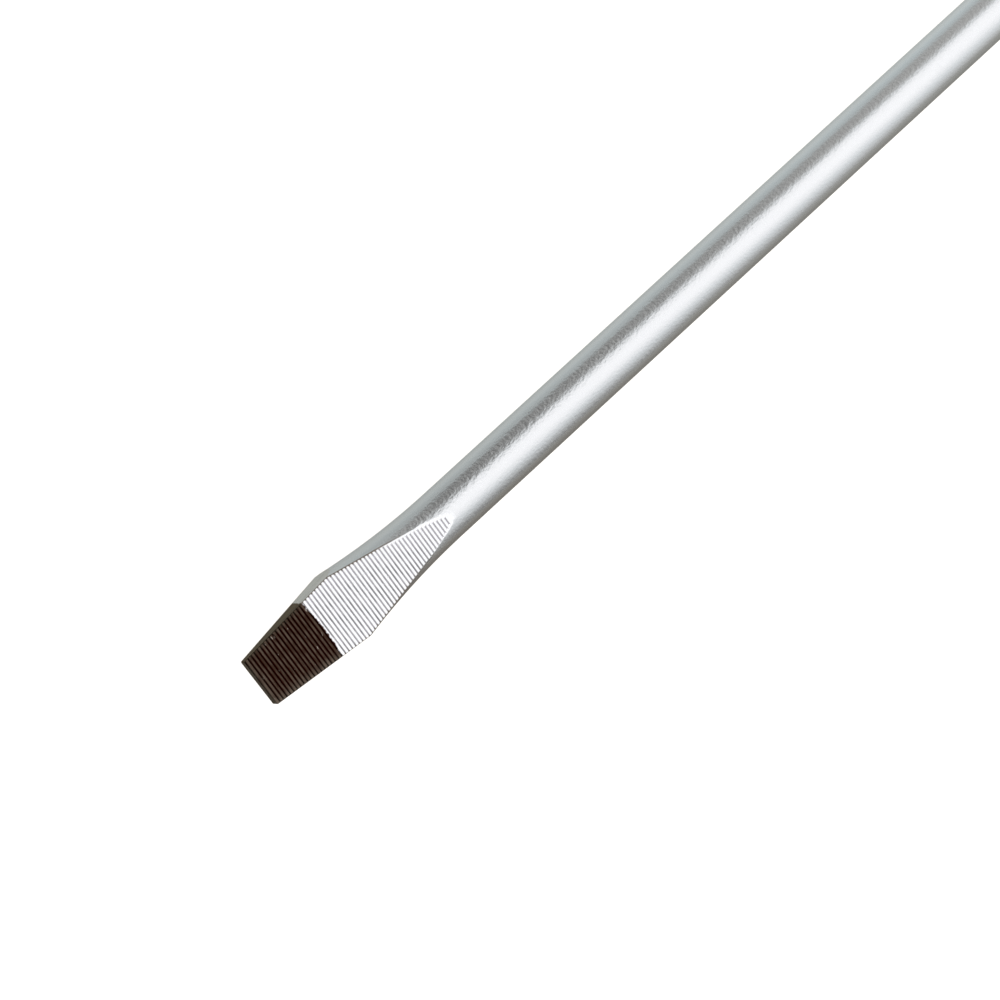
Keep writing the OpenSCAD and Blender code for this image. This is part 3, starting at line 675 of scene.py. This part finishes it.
blade = bmesh.new()
flare = [blade.verts.new((FLARE_END, 0, SHANK_R))]
swept = bmesh.ops.spin(blade, geom=flare, cent=(FLARE_END, 0, SHANK_R + FLARE_R), axis=(0, 1, 0),
                       angle=math.asin(FLARE_END / FLARE_R), steps=48)
mouth = points_of(swept["geom_last"])[0]
chain(blade, [(0, 0)], after=mouth)
soften(blade, chain(blade, [(BLADE_END - END_CHAMFER, SHANK_R, END_ROUND),
                            (BLADE_END, SHANK_R - END_CHAMFER, END_ROUND),
                            (BLADE_END, 0)], after=flare[0]))
turn(blade, steps=144)
for out in (1, -1):
    grind(blade, (0, out * TIP_HALF_W, 0), (-math.tan(SIDE_SLOPE), out, 0))
    grind(blade, (0, out * (TIP_HALF_W - TIP_BREAK), 0), (-1, out, 0))
print("blade blank:", len(blade.faces), "faces")

# %% [markdown]
# The two wide faces are ground at a slope until they run out into the shank. Plating rounds
# their edges, and it is this thin round that draws a dark line between a bright face and its
# flank. Before each face is cut, a loop is scored just below it and the points between are
# dissolved, so that the bevel has clean strips to work on.

# %% Blade faces
EDGE_ROUND, EDGE_SCORE = 0.045, 0.055
EDGE_START_X, EDGE_END_X, EDGE_TRIM = 0.3, 11.5, 0.3
ON_PLANE_MM, SAME_WAY = 0.002, 0.9999

for up in (1, -1):
    slope = Vector((-face_rise, 0, up)).normalized()
    on_face = Vector((0, 0, up * TIP_HALF_T))
    front = [f for f in blade.faces if max(v.co.x for v in f.verts) < EDGE_END_X]
    front += list({part for f in front for part in f.verts[:] + f.edges[:]})
    bmesh.ops.bisect_plane(blade, geom=front, dist=CUT_MM, plane_co=on_face - slope * EDGE_SCORE,
                           plane_no=slope)
    grind(blade, on_face, slope)
    loose = [v for v in blade.verts if EDGE_START_X < v.co.x < EDGE_END_X - EDGE_TRIM
             and ON_PLANE_MM < (on_face - v.co).dot(slope) < EDGE_SCORE - ON_PLANE_MM]
    bmesh.ops.dissolve_verts(blade, verts=loose)
    flat = max((f for f in blade.faces if f.normal.dot(slope) > SAME_WAY),
               key=lambda f: f.calc_area())
    rim = [e for e in flat.edges
           if EDGE_START_X < max(v.co.x for v in e.verts) < EDGE_END_X - EDGE_TRIM]
    bmesh.ops.bevel(blade, geom=rim, offset=EDGE_ROUND, offset_type="OFFSET", affect="EDGES",
                    segments=CORNER_STEPS, profile=0.5, material=-1)
    print("face", up, "has", len(rim), "rim edges")
end_face = [f for f in blade.faces if f.calc_center_median().x < MERGE_MM]
bmesh.ops.dissolve_faces(blade, faces=end_face)
bmesh.ops.recalc_face_normals(blade, faces=blade.faces)
print("blade:", len(blade.faces), "faces")

# %% [markdown]
# Each face carries fine milled grooves that lean a little from square, so that the tip bites in
# the screw's slot. The cutter is one V tooth, repeated at the pitch. Polishing before the plating
# has closed the grooves' ends towards the shank, earlier on one side than on the other. So each
# tooth is drawn as long as the face is wide there, its edge rises at both ends, and the ends draw
# back along the blade.

# %% Groove cutter
GROOVE_W, GROOVE_DEPTH = 0.1, 0.045
GROOVE_N = int((FACE_END - GROOVE_FIRST) / GROOVE_PITCH)
GROOVE_RAMP, TOOTH_LIFT = 0.15, 0.02
CLOSED_FROM, CLOSED_RATE, CLOSED_MOST = {1: 8.0, -1: 11.5}, 0.095, 0.19


def face_half_width(x):
    """Half the width of a wide face, which first the ground sides bound and then the flare."""
    radius = SHANK_R + FLARE_R - math.sqrt(FLARE_R ** 2 - (FLARE_END - x) ** 2)
    height = TIP_HALF_T + face_rise * x
    return min(TIP_HALF_W + x * math.tan(SIDE_SLOPE), math.sqrt(radius ** 2 - height ** 2))


cutter = bmesh.new()
half = GROOVE_W / 2 * (1 + TOOTH_LIFT / GROOVE_DEPTH)
for i in range(GROOVE_N):
    x = GROOVE_FIRST + i * GROOVE_PITCH
    tooth = []
    for out, start in CLOSED_FROM.items():
        closed = min(CLOSED_RATE * max(x - start, 0), CLOSED_MOST)
        reach = face_half_width(x) + GROOVE_RAMP - closed
        for px, py, dz in ((x - half, reach, TOOTH_LIFT), (x + half, reach, TOOTH_LIFT),
                           (x, reach - GROOVE_RAMP, -GROOVE_DEPTH)):
            tooth.append(cutter.verts.new((px, out * py - x * math.tan(GROOVE_LEAN),
                                           TIP_HALF_T + face_rise * px + dz)))
    bmesh.ops.convex_hull(cutter, input=tooth)
bmesh.ops.rotate(cutter, cent=(0, 0, 0), matrix=Matrix.Rotation(GROOVE_LEAN, 3, "Z"),
                 verts=cutter.verts)
print("grooves:", GROOVE_N, "on each face")

# %% [markdown]
# The underside is the same pass once more, with the bar turned over. The flat that the set
# screws press on is milled together with the grooves, so the Boolean runs only once.

# %% Milling the blade
FLAT_START, FLAT_Z = 77.5, 1.2
CUT_HALF_W, CUT_TOP, CUT_PAST = 3, 4, 1

under = bmesh.ops.duplicate(cutter, geom=cutter.verts[:] + cutter.edges[:] + cutter.faces[:])
bmesh.ops.rotate(cutter, cent=(0, 0, 0), matrix=Matrix.Rotation(math.pi, 3, "X"),
                 verts=points_of(under["geom"]))
block(cutter, (FLAT_START, -CUT_HALF_W, FLAT_Z), (BLADE_END + CUT_PAST, CUT_HALF_W, CUT_TOP))
bmesh.ops.recalc_face_normals(cutter, faces=cutter.faces)
blade = mill(blade, cutter)
place("blade_ground", blade, blade_finish, "blade", "blade", crisp=33)

# %% [markdown]
# The handle's metal is stainless steel, turned on a lathe. The tool leaves fine rings round each
# piece, which blur reflections along the axis more than round it. Real feed marks are about
# 0.03 mm apart; they are drawn five times as coarse, because finer ones would not show. The Bevel
# node rounds the shading at the edges, and where it turns the surface away from its flat the
# steel is painted brighter, as a painted highlight. On a knurled piece the flutes' roots are
# painted darker as painted shade, so the colour also follows the distance from the axis.

# %% Finish: turned steel
FEED_MM, FEED_HEIGHT_MM, FEED_ROUND_PER_MM = 0.15, 0.004, 0.35
FEED_ROUGH = {"To Min": 0.20, "To Max": 0.46}
CLOUD_PER_MM = 0.35
EDGE_WEAR_MM, EDGE_SAMPLES = 0.06, 6
# Painted light on turned steel: a pale colour on the edges is a painted highlight, and a dark
# colour towards the flutes' roots is painted shade.
STEEL_EDGE_HIGHLIGHT = {"From Min": 0.99, "From Max": 0.85, "To Max": 0.6}
ROOT_SHADE = {"To Min": 0.75, "To Max": 0.0}
ROOT_SHADE_COLOUR, EDGE_HIGHLIGHT_COLOUR = "#4a4640", "#d6d5d2"


def turned_steel(name, steel, root=None):
    """Satin turned steel. root is (root radius, crest radius) in mm, for painted shade in flutes.
    """
    finish, tree, spot = new_finish(name)
    feed = (1 / FEED_MM, FEED_ROUND_PER_MM, FEED_ROUND_PER_MM)
    rings = add(tree, "Mapping", {"Vector": spot, "Scale": feed}).outputs[0]
    rings = add(tree, "TexNoise", {"Vector": rings, "Scale": 1.0, "Detail": 3.0}).outputs["Fac"]
    cloud = add(tree, "TexNoise", {"Vector": spot, "Scale": CLOUD_PER_MM, "Detail": 5.0})
    dark, light = steel
    colour = add(tree, "Mix", {0: cloud.outputs["Fac"], 6: linear(dark), 7: linear(light)},
                 data_type="RGBA").outputs[2]
    # Painted shade: darker towards the flutes' roots.
    if root:
        off_axis = add(tree, "VectorMath", {0: spot, 1: (0, 1, 1)}, operation="MULTIPLY").outputs[0]
        radius = add(tree, "VectorMath", {0: off_axis}, operation="LENGTH").outputs["Value"]
        groove_shade = add(tree, "MapRange", {"Value": radius, "From Min": root[0], "From Max": root[1],
                                      **ROOT_SHADE}).outputs[0]
        colour = add(tree, "Mix", {0: groove_shade, 6: colour, 7: linear(ROOT_SHADE_COLOUR)},
                     data_type="RGBA").outputs[2]
    # Painted highlight: paler where the Bevel normal turns away from the flat, along every edge.
    rounded = add(tree, "Bevel", {"Radius": EDGE_WEAR_MM * MM}, samples=EDGE_SAMPLES)
    rounded = rounded.outputs["Normal"]
    flat = add(tree, "NewGeometry").outputs["Normal"]
    facing_out = add(tree, "VectorMath", {0: rounded, 1: flat}, operation="DOT_PRODUCT")
    wear_and_highlight = add(tree, "MapRange", {"Value": facing_out.outputs["Value"], **STEEL_EDGE_HIGHLIGHT}).outputs[0]
    colour = add(tree, "Mix", {0: wear_and_highlight, 6: colour, 7: linear(EDGE_HIGHLIGHT_COLOUR)},
                 data_type="RGBA").outputs[2]
    rough = add(tree, "MapRange", {"Value": rings, **FEED_ROUGH}).outputs[0]
    bump = add(tree, "Bump", {"Height": rings, "Distance": FEED_HEIGHT_MM * MM, "Normal": rounded})
    metal = add(tree, "BsdfPrincipled", {"Base Color": colour, "Roughness": rough,
                                         "Normal": bump.outputs[0], "Metallic": 1.0})
    add(tree, "OutputMaterial", {"Surface": metal.outputs[0]})
    print(name, "has", len(tree.nodes), "nodes")
    return finish


plain_steel = turned_steel("turned_stainless_steel", ("#b2b2b1", "#c0c0bf"))
knurl_steel = turned_steel("knurled_stainless_steel", ("#a8a8a7", "#b8b8b7"), root=(5.16, 5.46))
cap_steel = turned_steel("fluted_stainless_steel", ("#b2b2b1", "#c0c0bf"), root=(5.06, 5.36))

# %% [markdown]
# The hexagonal ring and the disc in the cap carry the colour code of the set. They are aluminium,
# bead blasted and anodised brown: a thin dyed glass over metal, so it keeps a metal's gloss and
# takes a fine even grain. Where edges rub, the dye wears thin and pale metal shows, in patches
# that a coarser noise sets.

# %% Finish: brown anodised aluminium
BLAST_MM, BLAST_HEIGHT_MM = 0.11, 0.007
BLAST_ROUGH = {"To Min": 0.30, "To Max": 0.44}
DYE_PER_MM, SCUFF_PER_MM = 0.5, 1.4
DYE, BARE_ALUMINIUM = ("#5f3824", "#73452d"), "#b59a86"
DYE_EDGE = {"From Min": 0.99, "From Max": 0.88}
SCUFF_LEVEL = {"From Min": 0.45, "From Max": 0.7}

anodised, tree, spot = new_finish("brown_anodised_aluminium")
noises = []
for per_mm, detail in ((1 / BLAST_MM, 2.0), (DYE_PER_MM, 4.0), (SCUFF_PER_MM, 5.0)):
    drawn = add(tree, "TexNoise", {"Vector": spot, "Scale": per_mm, "Detail": detail})
    noises.append(drawn.outputs["Fac"])
blast, cloud, scuff = noises
colour = add(tree, "Mix", {0: cloud, 6: linear(DYE[0]), 7: linear(DYE[1])},
             data_type="RGBA").outputs[2]
rounded = add(tree, "Bevel", {"Radius": EDGE_WEAR_MM * MM}, samples=EDGE_SAMPLES).outputs["Normal"]
flat = add(tree, "NewGeometry").outputs["Normal"]
facing_out = add(tree, "VectorMath", {0: rounded, 1: flat}, operation="DOT_PRODUCT")
wear_and_highlight = add(tree, "MapRange", {"Value": facing_out.outputs["Value"], **DYE_EDGE}).outputs[0]
scuff = add(tree, "MapRange", {"Value": scuff, **SCUFF_LEVEL}).outputs[0]
wear_and_highlight = add(tree, "Math", {0: wear_and_highlight, 1: scuff}, operation="MULTIPLY").outputs[0]
colour = add(tree, "Mix", {0: wear_and_highlight, 6: colour, 7: linear(BARE_ALUMINIUM)},
             data_type="RGBA").outputs[2]
rough = add(tree, "MapRange", {"Value": blast, **BLAST_ROUGH}).outputs[0]
bump = add(tree, "Bump", {"Height": blast, "Distance": BLAST_HEIGHT_MM * MM, "Normal": rounded})
metal = add(tree, "BsdfPrincipled", {"Base Color": colour, "Roughness": rough,
                                     "Normal": bump.outputs[0], "Metallic": 1.0})
add(tree, "OutputMaterial", {"Surface": metal.outputs[0]})
print("brown anodised:", len(tree.nodes), "nodes")

# %% [markdown]
# Small steel parts are blackened in hot salts, which leaves a blue-black skin with a soft sheen
# and slight cloudiness. The bearing's rings and balls are ground and lapped bright. The spacer
# and the ball cage are plain brass. All three are alike but for their colours, their roughness
# and the size of their marks, so one function makes them.

# %% Finishes: black oxide, bearing steel, brass
MARK_HEIGHT = 0.02  # of a mark's size


def small_metal(name, tints, roughness, mark_mm):
    """A plain small metal part: two close colours, and marks of one size in its roughness."""
    finish, tree, spot = new_finish(name)
    marks = add(tree, "TexNoise", {"Vector": spot, "Scale": 1 / mark_mm, "Detail": 4.0})
    marks = marks.outputs["Fac"]
    colour = add(tree, "Mix", {0: marks, 6: linear(tints[0]), 7: linear(tints[1])},
                 data_type="RGBA").outputs[2]
    rough = add(tree, "MapRange", {"Value": marks, "To Min": roughness[0],
                                   "To Max": roughness[1]})
    bump = add(tree, "Bump", {"Height": marks, "Distance": MARK_HEIGHT * mark_mm * MM})
    metal = add(tree, "BsdfPrincipled", {"Base Color": colour, "Roughness": rough.outputs[0],
                                         "Normal": bump.outputs[0], "Metallic": 1.0})
    add(tree, "OutputMaterial", {"Surface": metal.outputs[0]})
    return finish


black_oxide = small_metal("black_oxide_steel", ("#1b1c20", "#2c2d31"), (0.28, 0.45), 0.15)
bearing_steel = small_metal("lapped_bearing_steel", ("#bcbdc0", "#c8c9cc"), (0.10, 0.18), 0.12)
brass = small_metal("turned_brass", ("#b98f45", "#c9a159"), (0.22, 0.34), 0.12)
print("small metals ready")

# %% [markdown]
# The nose is the chuck that holds the blade. It is turned with a conical front, a plain seat
# that drops into a rack, a flange in front of the grip and a spigot inside the barrel. Two holes
# for the set screws are drilled into the seat.

# %% Nose
SET_SCREW_X, HOLE_R, HOLE_L = (82.4, 86.4), 1, 8
NOSE = [(95, 0), (95, 1.53), (75, 1.53, 0.12), (75, 2.15, 0.06), (75.35, 2.5, 0.1), (80, 4, 0.25),
        (89, 4, 0.06), (89, 4.9, 0.12), (90.4, 4.9, 0.1), (90.4, 3), (101.05, 3), (101.4, 2.65),
        (101.4, 0)]

nose = turned(NOSE, steps=192)
drill = bmesh.new()
for x in SET_SCREW_X:
    hole = bmesh.ops.create_cone(drill, cap_ends=True, segments=64, radius1=HOLE_R,
                                 radius2=HOLE_R, depth=HOLE_L)["verts"]
    bmesh.ops.translate(drill, vec=(x, 0, HOLE_L / 2), verts=hole)
nose = mill(nose, drill)
place("chuck_nose_turned", nose, plain_steel, "handle", "chuck_nose")

# %% [markdown]
# The two set screws sit just below the seat's surface and press on the blade's flat. Each is
# turned upright, with a rounded rim, a chamfered point and a sawn slot.

# %% Set screws
SCREW_R, SCREW_L, SCREW_FOOT, SCREW_POINT = 0.98, 2.5, 1.2, 0.25
SLOT_W, SLOT_DEPTH = 0.35, 0.6
SAW_HALF_L, SAW_TOP = 2, 1
SCREW = [(0, 0), (0, SCREW_R - SCREW_POINT, 0.04), (SCREW_POINT, SCREW_R, 0.04),
         (SCREW_L, SCREW_R, 0.12), (SCREW_L, 0)]

screws = turned(SCREW, steps=64)
bmesh.ops.rotate(screws, cent=(0, 0, 0), matrix=Matrix.Rotation(-math.pi / 2, 3, "Y"),
                 verts=screws.verts)
bmesh.ops.translate(screws, vec=(SET_SCREW_X[0], 0, SCREW_FOOT), verts=screws.verts)
second = bmesh.ops.duplicate(screws, geom=screws.verts[:] + screws.edges[:] + screws.faces[:])
bmesh.ops.translate(screws, vec=(SET_SCREW_X[1] - SET_SCREW_X[0], 0, 0),
                    verts=points_of(second["geom"]))
saw = bmesh.new()
top = SCREW_FOOT + SCREW_L
for x in SET_SCREW_X:
    block(saw, (x - SLOT_W / 2, -SAW_HALF_L, top - SLOT_DEPTH),
          (x + SLOT_W / 2, SAW_HALF_L, top + SAW_TOP))
screws = mill(screws, saw)
place("set_screws_slotted", screws, black_oxide, "handle", "set_screws")

# %% [markdown]
# The barrel is the handle's core. Under the grip it is a plain bar; behind it come a collar, a
# long waist for the fingers, a second collar and the seat of the hexagonal ring. The waist is an
# arc of a large circle, swept by spinning one point round a centre far above the axis.

# %% Barrel
WAIST_X, WAIST_END, WAIST_LOW_R, COLLAR_R = 116.8, 144.8, 3.8, 5.1
WAIST_HALF = (WAIST_END - WAIST_X) / 2
WAIST_SAG = COLLAR_R - WAIST_LOW_R
WAIST_R = (WAIST_HALF ** 2 + WAIST_SAG ** 2) / (2 * WAIST_SAG)
FRONT = [(101.42, 0), (101.42, 3.02), (90.4, 3.02), (90.4, 4.3), (114.4, 4.3), (114.4, 4.8, 0.05),
         (114.7, 5.1, 0.08), (115.35, 5.1, 0.05), (115.6, 4.85), (115.85, 5.1, 0.05),
         (WAIST_X, COLLAR_R)]
REAR = [(146.15, 5.1, 0.05), (146.4, 4.85), (146.65, 5.1, 0.05), (147.7, 5.1, 0.08),
        (148, 4.8, 0.05), (148, 3.7), (154, 3.7), (154, 2.02), (144.98, 2.02), (144.98, 0)]

barrel = bmesh.new()
front = chain(barrel, FRONT)
swept = bmesh.ops.spin(barrel, geom=[front[-1][0]],
                       cent=(WAIST_X + WAIST_HALF, 0, WAIST_LOW_R + WAIST_R), axis=(0, 1, 0),
                       angle=-2 * math.asin(WAIST_HALF / WAIST_R), steps=56)
waist_end = points_of(swept["geom_last"])[0]
print("waist ends at", [round(v, 3) for v in waist_end.co])
soften(barrel, front + chain(barrel, REAR, after=waist_end))
turn(barrel, steps=160)
place("barrel_turned", barrel, plain_steel, "handle", "barrel")

# %% [markdown]
# The grip is knurled with straight flutes in four bands. It is turned with four steps to each
# flute, and then two of every four points are pulled in to the flute's root, as a knurling wheel
# presses them. The other two stay as the flute's narrow land. The ring grooves between the bands
# cut below the roots, so every flute runs out clean.

# %% Knurling tool
def knurl(bm, count, root_r, land_deg, root_deg, bore_r, start, end):
    """Presses flutes between two places into a piece turned with four steps to each flute."""
    pitch = math.tau / count
    land, foot = math.radians(land_deg), math.radians(root_deg)
    shifts = (-land, land, pitch / 2 - foot, pitch / 2 + foot)
    for vert in bm.verts:
        radius = math.hypot(vert.co.y, vert.co.z)
        if radius < bore_r:
            continue
        step = round(math.atan2(vert.co.y, vert.co.z) % math.tau / (pitch / 4)) % (4 * count)
        angle = step // 4 * pitch + shifts[step % 4]
        if step % 4 > 1 and start < vert.co.x < end:
            radius = min(radius, root_r)
        vert.co.y, vert.co.z = radius * math.sin(angle), radius * math.cos(angle)


print("knurling tool ready")

# %% [markdown]
# The sleeve's outline repeats for each band: up a chamfer from the ring groove, along the crest
# and down again. A loop adds the bands, so their number can be changed in one place.

# %% Grip sleeve
GRIP_X, BAND_L, BAND_N, GRIP_R, GRIP_ROOT = 90.4, 6.0, 4, 5.5, 5.2
GRIP_BORE_R, RING_GROOVE_R = 4.32, 4.8
GRIP_FLUTES, CREST_IN, ROOT_IN, CREST_ROUND = 54, 0.7, 0.4, 0.08

grip_end = GRIP_X + BAND_N * BAND_L
outline = [(GRIP_X, GRIP_BORE_R), (GRIP_X, RING_GROOVE_R)]
for band in range(BAND_N):
    x = GRIP_X + band * BAND_L
    outline += [(x + ROOT_IN, GRIP_ROOT), (x + CREST_IN, GRIP_R, CREST_ROUND),
                (x + BAND_L - CREST_IN, GRIP_R, CREST_ROUND), (x + BAND_L - ROOT_IN, GRIP_ROOT),
                (x + BAND_L, RING_GROOVE_R)]
outline.append((grip_end, GRIP_BORE_R))
grip = turned(outline, steps=4 * GRIP_FLUTES, closed=True)
knurl(grip, GRIP_FLUTES, GRIP_ROOT, land_deg=0.63, root_deg=0.3, bore_r=4.5, start=GRIP_X,
      end=grip_end)
place("grip_sleeve_knurled", grip, knurl_steel, "handle", "grip_sleeve", crisp=18)

# %% [markdown]
# The ring keeps the tool from rolling off the bench. It is turned round first, with a chamfer at
# each end, and six flats are then ground on it. That gives the curved bites that a chamfered nut
# has at its corners. The six long edges are rounded so that they are kind to the fingers.

# %% Hexagonal ring
FLAT_R, FLAT_N, CORNER_ROUND, CORNER_LONGER_THAN = 5.5, 6, 0.12, 3
RING = [(148, 3.72, 0.06), (148, 5.25, 0.06), (148.7, 6.371), (153.3, 6.371), (154, 5.25, 0.06),
        (154, 3.72, 0.06)]

ring = turned(RING, steps=192, closed=True)
flat_deg = 360 / FLAT_N
for k in range(FLAT_N):
    way_out = math.radians(k * flat_deg)
    normal = Vector((0, math.sin(way_out), math.cos(way_out)))
    grind(ring, normal * FLAT_R, normal)
corners = [e for e in ring.edges
           if e.calc_length() > CORNER_LONGER_THAN and len(e.link_faces) == 2
           and abs(math.degrees(e.calc_face_angle()) - flat_deg) < 1]
print("ring corners:", len(corners))
bmesh.ops.bevel(ring, geom=corners, offset=CORNER_ROUND, affect="EDGES", segments=CORNER_STEPS,
                profile=0.5, material=-1)
place("anti_roll_ring_hex", ring, anodised, "handle", "anti_roll_ring")

# %% [markdown]
# The cap turns freely on a ball bearing, so that a finger can press on it while the handle is
# twirled. Its outside is fluted between two ring grooves, and its end is dished with a ball-end
# shape. Inside it has the bearing's bore, a groove for the snap ring and a step for the disc.

# %% Cap
CAP_X, CAP_END, CAP_R, CAP_ROOT = 155.5, 165.4, 5.4, 5.1
CAP_FLUTES, CAP_BORE_R, CAP_CHAMFER, CAP_GROOVE_R, CAP_GROOVE_IN = 30, 4.02, 0.3, 5.0, 1.5
DISH_MOUTH_R, DISH_DEPTH, DISH_FLOOR = 4.7, 1.2, 164.2
DISH_R = (DISH_MOUTH_R ** 2 + DISH_DEPTH ** 2) / (2 * DISH_DEPTH)
DISH_CENTRE = (DISH_FLOOR + DISH_R, 0, 0)
OUTSIDE = [(CAP_X, CAP_BORE_R), (CAP_X, CAP_R - CAP_CHAMFER, 0.06),
           (CAP_X + CAP_CHAMFER, CAP_R, 0.08), (CAP_X + 1.1, CAP_R, 0.05),
           (CAP_X + CAP_GROOVE_IN, CAP_GROOVE_R), (CAP_X + 1.6, CAP_ROOT),
           (CAP_X + 1.9, CAP_R, 0.06), (CAP_END - 1.9, CAP_R, 0.06),
           (CAP_END - 1.6, CAP_ROOT), (CAP_END - CAP_GROOVE_IN, CAP_GROOVE_R),
           (CAP_END - 1.1, CAP_R, 0.05), (CAP_END - CAP_CHAMFER, CAP_R, 0.08),
           (CAP_END, CAP_R - CAP_CHAMFER, 0.08), (CAP_END, DISH_MOUTH_R)]
INSIDE = [(163.0, CAP_BORE_R), (163.0, 3.32), (159.6, 3.32), (159.6, CAP_BORE_R),
          (156.6, CAP_BORE_R), (156.6, 4.37), (156.1, 4.37), (156.1, CAP_BORE_R)]


def dish_angle(radius):
    """Angle at the dish's centre between the axis and a point of the dish."""
    return math.asin(radius / DISH_R)


cap = bmesh.new()
outside = chain(cap, OUTSIDE)
swept = bmesh.ops.spin(cap, geom=[outside[-1][0]], cent=DISH_CENTRE, axis=(0, 1, 0),
                       angle=dish_angle(CAP_BORE_R) - dish_angle(DISH_MOUTH_R), steps=4)
lip = points_of(swept["geom_last"])[0]
print("dish lip at", [round(v, 3) for v in lip.co])
inside = chain(cap, INSIDE, after=lip)
cap.edges.new((inside[-1][0], outside[0][0]))
soften(cap, outside)
turn(cap, steps=4 * CAP_FLUTES)
knurl(cap, CAP_FLUTES, CAP_ROOT, land_deg=1.5, root_deg=0.5, bore_r=4.6,
      start=CAP_X + CAP_GROOVE_IN, end=CAP_END - CAP_GROOVE_IN)
place("swivel_cap_fluted", cap, cap_steel, "cap", "swivel_cap", crisp=18)

# %% [markdown]
# The disc closes the cap and carries the colour code once more. Its dish is the same ball as the
# cap's rim, so the fingertip feels one hollow.

# %% Cap disc
DISC_R = 4.0
DISC = [(162.0, 0), (162.0, 3.3), (163.0, 3.3), (163.0, DISC_R, 0.04),
        (DISH_CENTRE[0] - DISH_R * math.cos(dish_angle(DISC_R)), DISC_R)]

disc = bmesh.new()
face = chain(disc, DISC)
bmesh.ops.spin(disc, geom=[face[-1][0]], cent=DISH_CENTRE, axis=(0, 1, 0),
               angle=-dish_angle(DISC_R), steps=28)
soften(disc, face)
turn(disc, steps=128)
place("cap_disc_dished", disc, anodised, "cap", "cap_disc")

# %% [markdown]
# What sits inside the cap is only seen when the cap is taken apart, or through the narrow gap in
# front of it. These pieces keep their solids and get the finish of the real metal.

# %% Inner pieces
INNER = {"spindle": plain_steel, "spacer": brass, "bearing_inner_race": bearing_steel,
         "bearing_outer_race": bearing_steel, "bearing_balls": bearing_steel, "bearing_cage": brass,
         "bearing_shield_front": bearing_steel, "bearing_shield_rear": bearing_steel,
         "spindle_clip": black_oxide, "cap_clip": black_oxide}

for node, finish in INNER.items():
    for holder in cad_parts[node].material_slots:
        holder.material = finish
print("inner pieces:", len(INNER))
